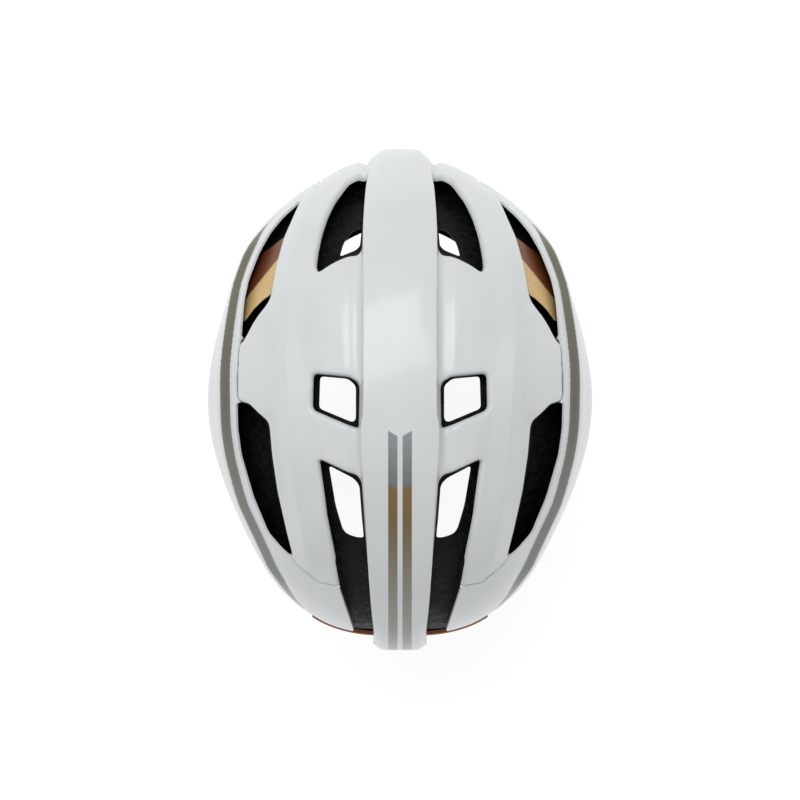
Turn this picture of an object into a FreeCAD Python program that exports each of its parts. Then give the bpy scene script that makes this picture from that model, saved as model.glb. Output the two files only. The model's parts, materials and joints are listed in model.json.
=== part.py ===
"""Cycling helmet: shell skins, foam liner, pads, strap set, buckle and rear dial fit system.

Frame, in millimetres: +Z up, the brow faces -Y, +X is the wearer's left. The origin is on the
mirror plane, half way along the shell, at the height of the wearer's ears and eyes.
"""
import FreeCAD, Part
import math
import os
import re
from FreeCAD import Placement, Rotation, Vector

os.makedirs("parts", exist_ok=True)
doc = FreeCAD.newDocument("cycling_helmet")

# ---------------------------------------------------------------- driving dimensions
SIZES = {
    # shell
    "shell_half_width": 109, "shell_front": 133, "shell_rear": 133, "widest_height": 50,
    "crown_height": 161, "skin": 1.2, "spine_rise": 4.5, "spine_overhang": 9,
    "spine_floor": 56, "trim_flare": 2, "trim_top": 40, "trim_half_width": 50,
    # foam
    "cavity_half_width": 82, "cavity_half_length": 104, "cavity_centre": -7,
    "cavity_spring": 40, "cavity_crown": 136, "outer_recess": 14, "inner_recess": 11,
    "insert_depth": 5, "insert_thick": 2,
    # pads
    "pad_gap": 1.2, "pad_thick": 5,
    # straps
    "strap_width": 15, "strap_thick": 1.6, "strap_play": 0.4, "strap_side": 73,
    "strap_flat": 44, "strap_drop": 92, "strap_straight": 42, "strap_rake": 29,
    "strap_top_along": -8, "strap_top_height": -28,
    # divider and its cam lever
    "divider_half_width": 12, "divider_tall": 22, "divider_top": -2, "divider_face": 77,
    "divider_back": 69.6, "cam_pin_radius": 1, "cam_half_width": 8,
    # buckle
    "socket_half_width": 13, "socket_half_thick": 5.5, "socket_mouth": -4, "socket_end": 24,
    "socket_wall": 1.5, "tongue_end": -24, "prong_half_thick": 2.5, "prong_tip": 10.5,
    # fit system
    "pivot_along": -38, "pivot_height": 36, "fit_tilt": 20, "fit_centre": 41,
    "band_half_width": 79, "band_reach": 107, "band_tall": 12, "band_thick": 1.6,
    "cradle_half_width": 77, "cradle_reach": 102, "cradle_thick": 2,
    "dial_drop": -12, "dial_seat": 144, "rack_lift": 3.4, "rack_thick": 1.6,
    "tooth_module": 1, "pinion_teeth": 10, "housing_half_width": 27,
    "knob_radius": 17, "grip_thick": 1.5, "shaft_radius": 3, "running_gap": 0.06,
    "pivot_pin_radius": 2, "cover_depth": 9.8, "cover_corner": 5,
}
sheet = doc.addObject("Spreadsheet::Sheet", "Dims")
for row, (alias, size) in enumerate(SIZES.items(), start=1):
    sheet.set(f"A{row}", alias)
    sheet.set(f"B{row}", str(size))
    sheet.setAlias(f"B{row}", alias)
doc.recompute()


def size(alias):
    """One driving dimension, read from the sheet."""
    return float(sheet.get(alias))


def bind(obj, prop, formula):
    """Bind a property to a formula of sheet names, such as 'strap_width / 2'."""
    obj.setExpression(prop, re.sub(r"([a-z_]{3,})", r"Dims.\1", str(formula)))


# ---------------------------------------------------------------- building blocks
made = {}


def finish(node, obj, frame=None):
    """Name a sub-part and put it in its place."""
    obj.Label = node
    if frame is not None:
        obj.Placement = frame.multiply(obj.Placement)
    made[node] = obj
    return obj


def free_form(node, shape, frame=None):
    """A sub-part whose shape is worked out from surfaces."""
    obj = doc.addObject("Part::Feature", node)
    obj.Shape = shape
    return finish(node, obj, frame)


def box(name, x, y, z):
    """A block given by its span along each axis."""
    obj = doc.addObject("Part::Box", name)
    for prop, letter, (low, high) in zip(("Length", "Width", "Height"), "xyz", (x, y, z)):
        bind(obj, prop, f"({high}) - ({low})")
        bind(obj, f"Placement.Base.{letter}", low)
    return obj


TURNS = {"x": Rotation(Vector(0, 1, 0), 90), "y": Rotation(Vector(1, 0, 0), -90), "z": Rotation()}


def rod(name, axis, radius, start, length):
    """A round bar from start along one axis."""
    obj = doc.addObject("Part::Cylinder", name)
    bind(obj, "Radius", radius)
    bind(obj, "Height", length)
    obj.Placement = Placement(Vector(), TURNS[axis])
    for letter, value in zip("xyz", start):
        bind(obj, f"Placement.Base.{letter}", value)
    return obj


def cut(name, base, *tools):
    for count, tool in enumerate(tools):
        step = doc.addObject("Part::Cut", f"{name}_cut{count}")
        step.Base, step.Tool = base, tool
        base = step
    return base


def fuse(name, *shapes):
    obj = doc.addObject("Part::MultiFuse", f"{name}_sum")
    obj.Shapes = list(shapes)
    return obj


def common(name, *shapes):
    obj = doc.addObject("Part::MultiCommon", f"{name}_common")
    obj.Shapes = list(shapes)
    return obj


def mirrored(node, source):
    """The right-hand twin of a left-hand sub-part."""
    obj = doc.addObject("Part::Mirroring", node)
    obj.Source = source
    obj.Normal = Vector(1, 0, 0)
    return finish(node, obj)


def both_sides(points):
    """Close a right-to-left outline from its +X half, given front to rear."""
    return points + [(-x, y) for x, y in reversed(points) if x > 0]


def prism(points, low=-20, high=220):
    """A vertical prism over a plan outline."""
    corners = [Vector(x, y, low) for x, y in points]
    return Part.Face(Part.makePolygon(corners + corners[:1])).extrude(Vector(0, 0, high - low))


def pair(points):
    """A prism over a plan outline and its mirror image."""
    twin = [(-x, y) for x, y in points]
    return prism(points).fuse(prism(twin))


# ---------------------------------------------------------------- shell surfaces
PLAN = [(0, -1), (34, -0.98), (62, -0.855), (84, -0.685), (98, -0.43), (107, -0.17), (109, 0.04),
        (104, 0.255), (91, 0.51), (72, 0.767), (50, 0.917), (28, 0.985), (0, 1)]
CROWN_STEPS = (0, 0.2, 0.4, 0.58, 0.72, 0.83, 0.91, 0.96, 0.985, 0.997)
TUCK = 0.1


def dome(outward=0.0, rise=0.0):
    """The shell's outside, grown sideways by outward and upward by rise."""
    grow = 1 + outward / size("shell_half_width")
    base, top = size("widest_height"), size("crown_height") + rise
    plan = [(x, y * (size("shell_front") if y < 0 else size("shell_rear"))) for x, y in PLAN]
    plan = plan + [(-x, y) for x, y in plan[-2:0:-1]]
    levels = [(z, 1 - TUCK * ((base - z) / base) ** 2) for z in (-10, 20)]
    levels += [(base + (top - base) * u, (1 - u ** 1.9) ** (1 / 2.2)) for u in CROWN_STEPS]
    wires = []
    for z, scale in levels:
        curve = Part.BSplineCurve()
        curve.interpolate([Vector(x * scale * grow, y * scale * grow, z) for x, y in plan],
                          PeriodicFlag=True)
        wires.append(Part.Wire(curve.toShape()))
    return Part.makeLoft(wires, True, False)


def cavity(inset=0.0):
    """The head space: an elliptical well with a rounded crown."""
    spring, top = size("cavity_spring"), size("cavity_crown") - inset
    levels = [(-15, 1), (10, 1)]
    levels += [(spring + (top - spring) * u, (1 - u ** 2.2) ** (1 / 2.2)) for u in CROWN_STEPS]
    wires = []
    for z, scale in levels:
        ring = Part.Ellipse(Vector(0, size("cavity_centre"), z),
                            (size("cavity_half_length") - inset) * scale,
                            (size("cavity_half_width") - inset) * scale)
        ring.rotate(Placement(Vector(0, size("cavity_centre"), z), Rotation(Vector(0, 0, 1), 90)))
        wires.append(Part.Wire(ring.toShape()))
    return Part.makeLoft(wires, True, False)


RIM = [(-160, 52), (-130, 50), (-90, 44), (-50, 31), (-10, 27), (30, 28), (70, 18), (105, 9),
       (130, 10), (160, 12)]


def below_rim():
    """Everything under the helmet's lower edge."""
    line = Part.BSplineCurve()
    line.interpolate([Vector(-150, y, z) for y, z in RIM])
    (front, high), (back, low) = RIM[0], RIM[-1]
    floor = Part.makePolygon([Vector(-150, back, low), Vector(-150, back, -40),
                              Vector(-150, front, -40), Vector(-150, front, high)])
    return Part.Face(Part.Wire([line.toShape()] + floor.Edges)).extrude(Vector(300, 0, 0))


SPINE = [(13, -160), (17.6, -136), (20.5, -105), (22, -96), (21.5, -40), (23, 15), (21.7, 47),
         (17.4, 97), (15.3, 128), (13.5, 142)]
FRONT_VENT = [(19, -129), (30, -124), (38, -113), (45, -94.5), (48, -75), (46, -71.7), (34.4, -79),
              (21.6, -84.6)]
FRONT_HOLE = [(23, -95.5), (30.4, -89.7), (34.2, -80.4), (23, -85.4)]
MIDDLE_VENT = [(49.5, -15), (27.8, -13), (23.4, -8.6), (23.4, 14.8), (25, 16.2), (50, 5.7)]
MIDDLE_HOLE = [(44.6, -13.2), (29, -11.8), (24.6, -8), (24.6, 10.8), (26.6, 12.4), (45.2, 4.7)]
REAR_VENT = [(45.7, 32.7), (26.7, 41.4), (21.8, 45.7), (19.6, 75), (15.3, 128), (15.3, 160),
             (26.7, 160), (26.7, 129.4), (34.8, 104.4), (41.9, 62)]
REAR_HOLE = [(40, 37), (23.4, 47.5), (21.4, 75), (29.9, 75), (37, 53.4)]
TEMPLE_VENT = [(56.5, -113), (66.5, -88.6), (73.3, -55), (82, -43), (89.5, -31), (90.5, -39),
               (87.8, -61), (82, -80.7), (71.3, -100.5)]
FLANK_VENT = [(85.2, 2.3), (73.3, 12.8), (71.3, 29.5), (66.5, 55), (60, 87), (61, 89), (72.3, 77),
              (83, 49), (90.5, 12.8), (92.6, 0)]
UPPER_EDGE = [(0, -160), (45, -160), (45, -123), (56.5, -113), (71.3, -100.5), (82, -80.7),
              (87.8, -61), (90.5, -39), (92.6, 0), (90.5, 12.8), (83, 49), (72.3, 77), (61, 89),
              (45.7, 102.8), (34.8, 104.4), (26.7, 129.4), (26.7, 160), (0, 160)]
INSERT = [(66.6, -91), (79, -80), (83, -76), (87, -55), (86.5, -46), (73.7, -59)]


def shells_and_foam():
    """Outer skins, rear trim, gold inserts and the foam liner, which share their surfaces."""
    skin, rise = size("skin"), size("spine_rise")
    overhang = size("spine_overhang") * size("shell_half_width") / size("shell_front")
    floor = size("spine_floor")
    narrow = [(x - skin, y) for x, y in SPINE[:-1]] + [(SPINE[-1][0] - skin, SPINE[-1][1] - skin)]
    outer_spine = dome(overhang, rise).common(prism(both_sides(SPINE), floor))
    inner_spine = dome(overhang - skin, rise - skin).common(prism(both_sides(narrow), floor + skin))
    outside, inside = dome(), dome(-skin)
    head, under = cavity(), below_rim()
    vents = pair(FRONT_VENT)
    for outline in (MIDDLE_VENT, REAR_VENT, TEMPLE_VENT, FLANK_VENT):
        vents = vents.fuse(pair(outline))
    filling = inside.fuse(inner_spine)
    skins = outside.cut(vents).fuse(outer_spine).cut(filling).cut(under)

    rear = Part.makeBox(2 * size("trim_half_width"), 100, size("trim_top") + 20,
                        Vector(-size("trim_half_width"), 60, -20))
    trim = dome(size("trim_flare")).cut(inside).cut(under).common(rear)
    free_form("rear_trim", trim)
    skins = skins.cut(rear)
    upper_zone = prism(both_sides(UPPER_EDGE))
    free_form("upper_shell", skins.common(upper_zone))
    lower = skins.cut(upper_zone)
    half = Part.makeBox(200, 400, 300, Vector(0, -200, -50))
    free_form("lower_shell_left", lower.common(half))
    free_form("lower_shell_right", lower.cut(half))

    deep = dome(-size("outer_recess"), -size("outer_recess"))
    shallow = dome(-size("inner_recess"), -size("inner_recess"))
    outer_pockets = pair(TEMPLE_VENT).fuse(pair(FLANK_VENT)).cut(deep)
    inner_pockets = pair(FRONT_VENT).fuse(pair(MIDDLE_VENT)).fuse(pair(REAR_VENT)).cut(shallow)
    foam = inside.cut(outer_pockets).cut(inner_pockets).fuse(inner_spine)
    for outline in (FRONT_HOLE, MIDDLE_HOLE, REAR_HOLE):
        foam = foam.cut(pair(outline))
    foam = foam.cut(head).cut(under)
    plate = temple_plate()
    for pocket in [anchor_block(*place) for place in ANCHORS]:
        foam = foam.cut(pocket)
    foam = foam.cut(plate).cut(plate.mirror(Vector(), Vector(1, 0, 0)))
    # channel at the back for the height arm and its ladder
    foam = foam.cut(Part.makeBox(16.6, 12, 60, Vector(-8.3, 86.8, -12.5)))
    free_form("foam_liner", foam)

    depth, thick = size("insert_depth"), size("insert_thick")
    layer = dome(-depth, -depth).cut(dome(-depth - thick, -depth - thick))
    insert = layer.common(prism(INSERT, size("widest_height")))
    free_form("vent_insert_left", insert)
    mirrored("vent_insert_right", made["vent_insert_left"])


# ---------------------------------------------------------------- strap anchors and pads
ANCHORS = [(82, -48, 27), (-82, -48, 27), (77, 62, 17), (-77, 62, 17)]
ANCHOR_WIDE, ANCHOR_LONG, ANCHOR_TALL = 7, 20, 12


def anchor_block(x, y, z):
    """The outside of one strap anchor, which is also its pocket in the foam."""
    corner = Vector(x - ANCHOR_WIDE / 2, y - ANCHOR_LONG / 2, z)
    return Part.makeBox(ANCHOR_WIDE, ANCHOR_LONG, ANCHOR_TALL, corner)


def strap_anchors():
    """Four plugs moulded into the foam's lower edge, each with a slot for its strap."""
    plugs = []
    for x, y, z in ANCHORS:
        slot = Part.makeBox(3, 16, 8, Vector(x - 1.5, y - 8, z - 1))
        plugs.append(anchor_block(x, y, z).cut(slot))
    free_form("strap_anchors", Part.makeCompound(plugs))


def pads():
    """Fabric-covered pads against the foam, and the hook dots that hold them."""
    gap, thick = size("pad_gap"), size("pad_thick")
    layer = cavity(gap).cut(cavity(gap + thick))
    glue = cavity(0.1).cut(cavity(gap - 0.1))
    brow = Part.makeBox(104, 60, 22, Vector(-52, -125, 56))
    free_form("front_pad", layer.common(brow))
    crown = prism([(-13, -62), (13, -62), (13, 44), (-13, 44)], 100)
    free_form("crown_pad", layer.common(crown))
    side = Part.makeBox(60, 64, 20, Vector(30, -26, 62))
    free_form("side_pad_left", layer.common(side))
    mirrored("side_pad_right", made["side_pad_left"])
    dots = []
    for x, y, z, axis in ((0, -45, 100, "z"), (0, 28, 100, "z"), (30, -125, 67, "y"),
                          (-30, -125, 67, "y"), (30, -14, 72, "x"), (30, 26, 72, "x")):
        direction = {"x": Vector(1, 0, 0), "y": Vector(0, 1, 0), "z": Vector(0, 0, 1)}[axis]
        dots.append(glue.common(Part.makeCylinder(7, 60, Vector(x, y, z), direction)))
    for y in (-14, 26):
        dots.append(glue.common(Part.makeCylinder(7, 60, Vector(-90, y, 72), Vector(1, 0, 0))))
    free_form("hook_dots", Part.makeCompound([solid for dot in dots for solid in dot.Solids]))


# ---------------------------------------------------------------- straps
strap_frame = Placement(Vector(0, size("strap_top_along"), size("strap_top_height")),
                        Rotation(Vector(1, 0, 0), -size("strap_rake")))


def leg(node, top, bottom):
    """A straight webbing leg from its anchor to the crossing above the divider."""
    run = bottom - top
    across = run.cross(Vector(1, 0, 0)).normalize() * (size("strap_width") / 2)
    face = Part.makePolygon([top + across, bottom + across, bottom - across, top - across,
                             top + across])
    out = Vector(size("strap_thick") / 2, 0, 0)
    shape = Part.Face(face).extrude(out * 2)
    shape.translate(out * -1)
    free_form(node + "_left", shape)
    mirrored(node + "_right", made[node + "_left"])


TAIL_GAP = 3.4
TAIL_THICK = 1.4


def chin_strap(end, tail):
    """A left chin strap: straight down through the divider, round the jaw, to the buckle."""
    half, width = size("strap_thick") / 2, size("strap_width")
    edge, flat = size("strap_side"), size("strap_flat")
    straight, drop = size("strap_straight"), size("strap_drop")
    arcs = []
    for offset in (half, -half):
        arc = []
        for step in range(13):
            angle = math.radians(90 * step / 12)
            arc.append(Vector(flat + (edge - flat + offset) * math.cos(angle), 0,
                              -straight - (drop - straight + offset) * math.sin(angle)))
        arcs.append(arc)
    edges = []
    for arc in arcs:
        curve = Part.BSplineCurve()
        curve.interpolate(arc, InitialTangent=Vector(0, 0, -1), FinalTangent=Vector(-1, 0, 0))
        edges.append(curve.toShape())
    (outer, inner) = arcs
    corners = [outer[0], Vector(edge + half, 0, 0), Vector(edge - half, 0, 0), inner[0]]
    edges += Part.makePolygon(corners).Edges
    corners = [outer[-1], Vector(end, 0, -drop - half), Vector(end, 0, -drop + half), inner[-1]]
    edges += Part.makePolygon(corners).Edges
    shape = Part.Face(Part.Wire(Part.__sortEdges__(edges))).extrude(Vector(0, width, 0))
    shape.translate(Vector(0, -width / 2, 0))
    if tail:
        low = -drop - half - TAIL_GAP
        fold = Part.makeBox(TAIL_THICK, width, -drop + half - low,
                            Vector(end - TAIL_THICK, -width / 2, low))
        flap = Part.makeBox(tail + TAIL_THICK, width, TAIL_THICK,
                            Vector(end - TAIL_THICK, -width / 2, low))
        shape = shape.fuse(fold).fuse(flap).removeSplitter()
    return shape


def straps():
    """Webbing: two legs a side, and the chin strap in two halves."""
    thick = size("strap_thick")
    crossing = Vector(size("strap_side"), 0, 0)
    outer = strap_frame.multVec(crossing + Vector(thick / 2 + 0.1, 0, 7.1))
    inner = strap_frame.multVec(crossing - Vector(thick / 2 + 0.1, 0, -3.9))
    leg("front_strap", Vector(82, -48, 23), outer)
    leg("rear_strap", Vector(77, 62, 10.6), inner)
    free_form("chin_strap_left", chin_strap(15.2, 30), strap_frame)
    right = chin_strap(15, 0).mirror(Vector(), Vector(1, 0, 0))
    free_form("chin_strap_right", right, strap_frame)


# ---------------------------------------------------------------- divider and cam lever
def divider():
    """A slotted block that slides on the doubled strap, with a cam lever on its outer face."""
    half, face, top = "divider_half_width", "divider_face", "divider_top"
    body = box("divider_block", ("divider_back", face), (f"-{half}", half),
               (f"{top} - divider_tall", top))
    slot = box("divider_slot",
               ("strap_side - strap_thick / 2 - strap_play", "strap_side + strap_thick / 2 + strap_play"),
               ("-strap_width / 2 - strap_play", "strap_width / 2 + strap_play"),
               (f"{top} - divider_tall - 1", f"{top} + 1"))
    window = box("divider_window", ("strap_side", f"{face} + 1"),
                 ("-cam_half_width + 2", "cam_half_width - 2"), (f"{top} - 19", f"{top} - 8"))
    ears = [box(f"divider_ear{sign}", (f"{face} - 1", f"{face} + 4"),
                (f"{sign} * 9.7 - 1.3", f"{sign} * 9.7 + 1.3"), (f"{top} - 6", f"{top} - 1"))
            for sign in (-1, 1)]
    pin_at = (f"{face} + 2.3", f"-{half} + 1", f"{top} - 3.5")
    bore = rod("divider_pin_bore", "y", "cam_pin_radius", pin_at, f"2 * {half}")
    block = cut("divider", fuse("divider", body, *ears), slot, window, bore)
    finish("strap_divider_left", block, strap_frame)
    shank = rod("cam_pin_shank", "y", "cam_pin_radius", (f"{face} + 2.3", "-11", f"{top} - 3.5"), "22")
    heads = [rod(f"cam_pin_head{sign}", "y", "cam_pin_radius + 0.6",
                 (f"{face} + 2.3", f"{sign} * 11.3 - 0.3", f"{top} - 3.5"), "0.6")
             for sign in (-1, 1)]
    finish("cam_pin_left", fuse("cam_pin", shank, *heads), strap_frame)

    knuckle = rod("cam_knuckle", "y", "1.9", (f"{face} + 2.3", "-cam_half_width", f"{top} - 3.5"),
                  "2 * cam_half_width")
    plate = box("cam_plate", (f"{face} + 1.3", f"{face} + 3.3"), ("-cam_half_width", "cam_half_width"),
                (f"{top} - 19", f"{top} - 4"))
    lip = box("cam_lip", (f"{face} + 1.3", f"{face} + 5"), ("-cam_half_width", "cam_half_width"),
              (f"{top} - 20.5", f"{top} - 18.5"))
    bore = rod("cam_bore", "y", "cam_pin_radius + running_gap",
               (f"{face} + 2.3", "-cam_half_width - 1", f"{top} - 3.5"), "2 * cam_half_width + 2")
    lever = cut("cam", fuse("cam", knuckle, plate, lip), bore)
    finish("cam_lever_left", lever, strap_frame)
    for node in ("strap_divider", "cam_pin", "cam_lever"):
        mirrored(node + "_right", made[node + "_left"])


# ---------------------------------------------------------------- buckle
def buckle():
    """Side-release buckle under the chin: socket, tongue and its two spring prongs."""
    drop, half, thick = "strap_drop", "socket_half_width", "socket_half_thick"
    shell = box("socket_block", ("socket_mouth", "socket_end"), (f"-{half}", half),
                (f"-{drop} - {thick}", f"-{drop} + 4.5"))
    hollow = box("socket_hollow", ("socket_mouth - 1", "12"),
                 (f"-{half} + socket_wall", f"{half} - socket_wall"),
                 (f"-{drop} - 3.5", f"-{drop} + 3.5"))
    windows = box("socket_windows", ("3", "11"), (f"-{half} - 1", f"{half} + 1"),
                  (f"-{drop} - 2.8", f"-{drop} + 2.8"))
    entry = box("socket_entry", ("13.3", "socket_end + 1"), ("-8", "8"),
                (f"-{drop} - 4.9", f"-{drop} + 1.3"))
    bar = box("socket_bar", ("15.8", "18.5"), ("-10", "10"), (f"-{drop} - 2.5", f"-{drop} - 1.1"))
    finish("buckle_socket", fuse("socket", cut("socket", shell, hollow, windows, entry), bar),
           strap_frame)

    body = box("tongue_body", ("tongue_end", "socket_mouth - 0.4"), ("-11", "11"),
               (f"-{drop} - 4", f"-{drop} + 4"))
    entry = box("tongue_entry", ("tongue_end - 1", "-13.5"), ("-8", "8"),
                (f"-{drop} - 1.3", f"-{drop} + 1.3"))
    window = box("tongue_window", ("-20", "-15.5"), ("-8", "8"), (f"-{drop} - 5", f"-{drop}"))
    guide = box("tongue_guide", ("socket_mouth - 1", "11"), ("-2.2", "2.2"),
                (f"-{drop} - prong_half_thick", f"-{drop} + prong_half_thick"))
    finish("buckle_tongue", fuse("tongue", cut("tongue", body, entry, window), guide), strap_frame)

    for sign, word in ((-1, "front"), (1, "rear")):
        def span(low, high):
            return (f"{low}", f"{high}") if sign > 0 else (f"-{high}", f"-{low}")
        height = (f"-{drop} - prong_half_thick", f"-{drop} + prong_half_thick")
        arm = box(f"prong_arm_{word}", ("socket_mouth + 1.2", "prong_tip"), span(6, 8.4), height)
        root = rod(f"prong_root_{word}", "z", "1.2",
                   ("socket_mouth + 1.2", sign * 7.2, f"-{drop} - prong_half_thick"), "2 * prong_half_thick")
        head = box(f"prong_head_{word}", ("4", "prong_tip - 0.7"), span(8, 11.2), height)
        finish(f"buckle_prong_{word}", fuse(f"prong_{word}", arm, root, head), strap_frame)

    low, high = f"-{drop} - 6.6", f"-{drop} + 2.4"
    ring = box("keeper_block", ("32", "38"), ("-9.6", "9.6"), (low, high))
    hole = box("keeper_hole", ("31", "39"), ("-8", "8"), (f"{low} + 1.4", f"{high} - 1.4"))
    finish("strap_keeper", cut("keeper", ring, hole), strap_frame)


# ---------------------------------------------------------------- fit system
fit_frame = Placement(Vector(0, size("pivot_along"), size("pivot_height")),
                      Rotation(Vector(1, 0, 0), -size("fit_tilt")))


def oval(half_width, reach, low, high):
    """A solid oval, centred on the head, in the fit system's plane."""
    ring = Part.Ellipse(Vector(0, size("fit_centre"), low), reach, half_width)
    ring.rotate(Placement(Vector(0, size("fit_centre"), low), Rotation(Vector(0, 0, 1), 90)))
    return Part.Face(Part.Wire(ring.toShape())).extrude(Vector(0, 0, high - low))


TAB = (73, 74.8)
PLATE = (75.9, 78.2)


def temple_plate():
    """The outside of the left temple anchor, which is also its pocket in the foam."""
    plate = Part.makeBox(PLATE[1] - PLATE[0], 13, 16, Vector(PLATE[0], -12, -6))
    plate.Placement = fit_frame
    return plate


def temple_joints():
    """Anchor plates on the foam with the pins that the side bands turn on."""
    radius = size("pivot_pin_radius")
    shaft = Part.makeCylinder(radius, PLATE[1] - TAB[0] + 0.6, Vector(TAB[0] - 0.6, 0, 0),
                              Vector(1, 0, 0))
    cap = Part.makeCylinder(3.6, 1, Vector(TAB[0] - 1.5, 0, 0), Vector(1, 0, 0))
    pin = shaft.fuse(cap)
    pin.Placement = fit_frame
    free_form("temple_anchor_left", temple_plate().cut(pin))
    mirrored("temple_anchor_right", made["temple_anchor_left"])
    free_form("temple_pins", Part.makeCompound([pin, pin.mirror(Vector(), Vector(1, 0, 0))]))


BAND_LEAVES = 50
RACK_END = 30


def side_bands():
    """Thin bands from the temple pins back round the head to the racks of the dial."""
    width, reach, thick = size("band_half_width"), size("band_reach"), size("band_thick")
    half, centre = size("band_tall") / 2, size("fit_centre")
    ring = oval(width, reach, -half, half).cut(oval(width - thick, reach - thick, -half, half))
    bend = centre + reach * math.sqrt(1 - (BAND_LEAVES / width) ** 2)
    inner = centre + (reach - thick) * math.sqrt(1 - (BAND_LEAVES / (width - thick)) ** 2)
    curved = ring.common(Part.makeBox(width, bend, 2 * half, Vector(BAND_LEAVES, 0, -half)))
    plane = size("dial_seat") + size("rack_lift")
    corners = [Vector(BAND_LEAVES, bend, -half), Vector(RACK_END, plane + thick, -half),
               Vector(RACK_END, plane, -half), Vector(BAND_LEAVES, inner, -half)]
    straight = Part.Face(Part.makePolygon(corners + corners[:1])).extrude(Vector(0, 0, 2 * half))
    tab = Part.makeBox(TAB[1] - TAB[0], 16, 2 * half, Vector(TAB[0], -7, -half))
    hole = Part.makeCylinder(size("pivot_pin_radius") + size("running_gap"), 20,
                             Vector(TAB[0] - 5, 0, 0), Vector(1, 0, 0))
    cap_room = Part.makeCylinder(4.1, 9, Vector(TAB[0] - 9, 0, 0), Vector(1, 0, 0))
    band = curved.fuse([straight, tab]).cut([hole, cap_room]).removeSplitter()
    free_form("side_band_left", band, fit_frame)
    mirrored("side_band_right", made["side_band_left"])


def cradle():
    """The shell behind the head that carries the dial, with its pads and height arm."""
    width, reach, thick = size("cradle_half_width"), size("cradle_reach"), size("cradle_thick")
    low, high = -24, 8
    seat = size("dial_seat")
    back = Part.makeBox(92, 80, high - low, Vector(-46, 98, low))
    skin = oval(width, reach, low, high).common(back)
    boss = Part.makeBox(20, 16, 26, Vector(-10, seat - 16, -22))
    shape = skin.fuse(boss).cut(oval(width - thick, reach - thick, low - 1, high + 1))
    for side in (-1, 1):
        for level in (-18, -4):
            shape = shape.cut(Part.makeBox(20, 60, 7, Vector(side * 28 - 10, 98, level)))
    free_form("occipital_cradle", shape, fit_frame)

    gap, soft = 0.3, 3
    layer = oval(width - thick - gap, reach - thick - gap, -20, 5)
    layer = layer.cut(oval(width - thick - gap - soft, reach - thick - gap - soft, -21, 6))
    pad = layer.common(Part.makeBox(24, 80, 30, Vector(12, 98, -20)))
    free_form("cradle_pad_left", pad, fit_frame)
    mirrored("cradle_pad_right", made["cradle_pad_left"])

    arm = [(-0.9, 4.1), (-0.1, 4.1), (-0.1, 9.8), (-10.1, 15), (-12.1, 26.7), (-15, 38.4),
           (-18.9, 49.8), (-20.3, 49.3), (-16.3, 38), (-13.4, 26.2), (-11.6, 14), (-0.9, 8.4)]
    corners = [Vector(-6, seat + y, z) for y, z in arm]
    strip = Part.Face(Part.makePolygon(corners + corners[:1])).extrude(Vector(12, 0, 0))
    free_form("height_arm", strip, fit_frame)
    rail = ladder_block()
    for step in range(5):
        rail = rail.cut(Part.makeBox(10, 3, 3, Vector(-5, 96, 15 + 6 * step)))
    free_form("height_ladder", rail)


def ladder_block():
    """The outside of the ladder that the height arm clicks into."""
    return Part.makeBox(16, 1.3, 34, Vector(-8, 97.2, 12))


def housing():
    """The dial housing: base on the cradle, cover, its screws and the click spring."""
    half, drop = "housing_half_width", "dial_drop"
    seat = "dial_seat"
    base = box("base_block", (f"-{half}", half), (seat, f"{seat} + 3"), (-30, 6))
    bosses = [rod(f"base_boss{x}", "y", 2, (x, f"{seat} + 2.5", -26), 3) for x in (-20, 20)]
    holes = [rod(f"base_hole{x}", "y", 1, (x, f"{seat} - 1", -26), 8) for x in (-20, 20)]
    finish("dial_base", cut("dial_base", fuse("dial_base", base, *bosses), *holes), fit_frame)

    cover = cover_block()
    inner = box("cover_room", (f"-{half} - 1", f"{half} + 1"), (f"{seat} + 2", f"{seat} + 11"), (-28.2, 4.2))
    opening = rod("cover_shaft_hole", "y", "shaft_radius + running_gap", (0, f"{seat} + 10", drop), 5)
    posts = [rod(f"cover_post{x}", "y", 3, (x, f"{seat} + 5.6", -26), 6) for x in (-20, 20)]
    seats = [rod(f"cover_seat{x}", "y", 2.2, (x, f"{seat} + 11.8", -26), 2) for x in (-20, 20)]
    holes = [rod(f"cover_hole{x}", "y", 1, (x, f"{seat} + 2", -26), 12) for x in (-20, 20)]
    hollowed = cut("cover", cover, inner, opening)
    finish("dial_cover", cut("dial_cover", fuse("cover", hollowed, *posts), *seats, *holes), fit_frame)

    back = Vector(0, 1, 0)
    inside = size("dial_seat")
    screws = []
    for x in (-20, 20):
        head = Part.makeCylinder(2.1, 1.1, Vector(x, inside + 11.8, -26), back)
        shank = Part.makeCylinder(1, 11.2, Vector(x, inside + 0.7, -26), back)
        slot = Part.makeBox(3, 0.5, 0.6, Vector(x - 1.5, inside + 12.5, -26.3))
        screws.append(head.fuse(shank).cut(slot))
    free_form("cover_screws", Part.makeCompound(screws), fit_frame)

    leaf = Part.makeBox(22, 2.5, 0.7, Vector(-11, inside + 7, -4.1))
    nose = Part.makeCylinder(0.6, 2.5, Vector(0, inside + 7, -4.2), back)
    feet = [Part.makeBox(0.7, 2.5, 8.2, Vector(x, inside + 7, -4.1)) for x in (-11, 10.3)]
    free_form("click_spring", leaf.fuse([nose] + feet).removeSplitter(), fit_frame)


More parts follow.
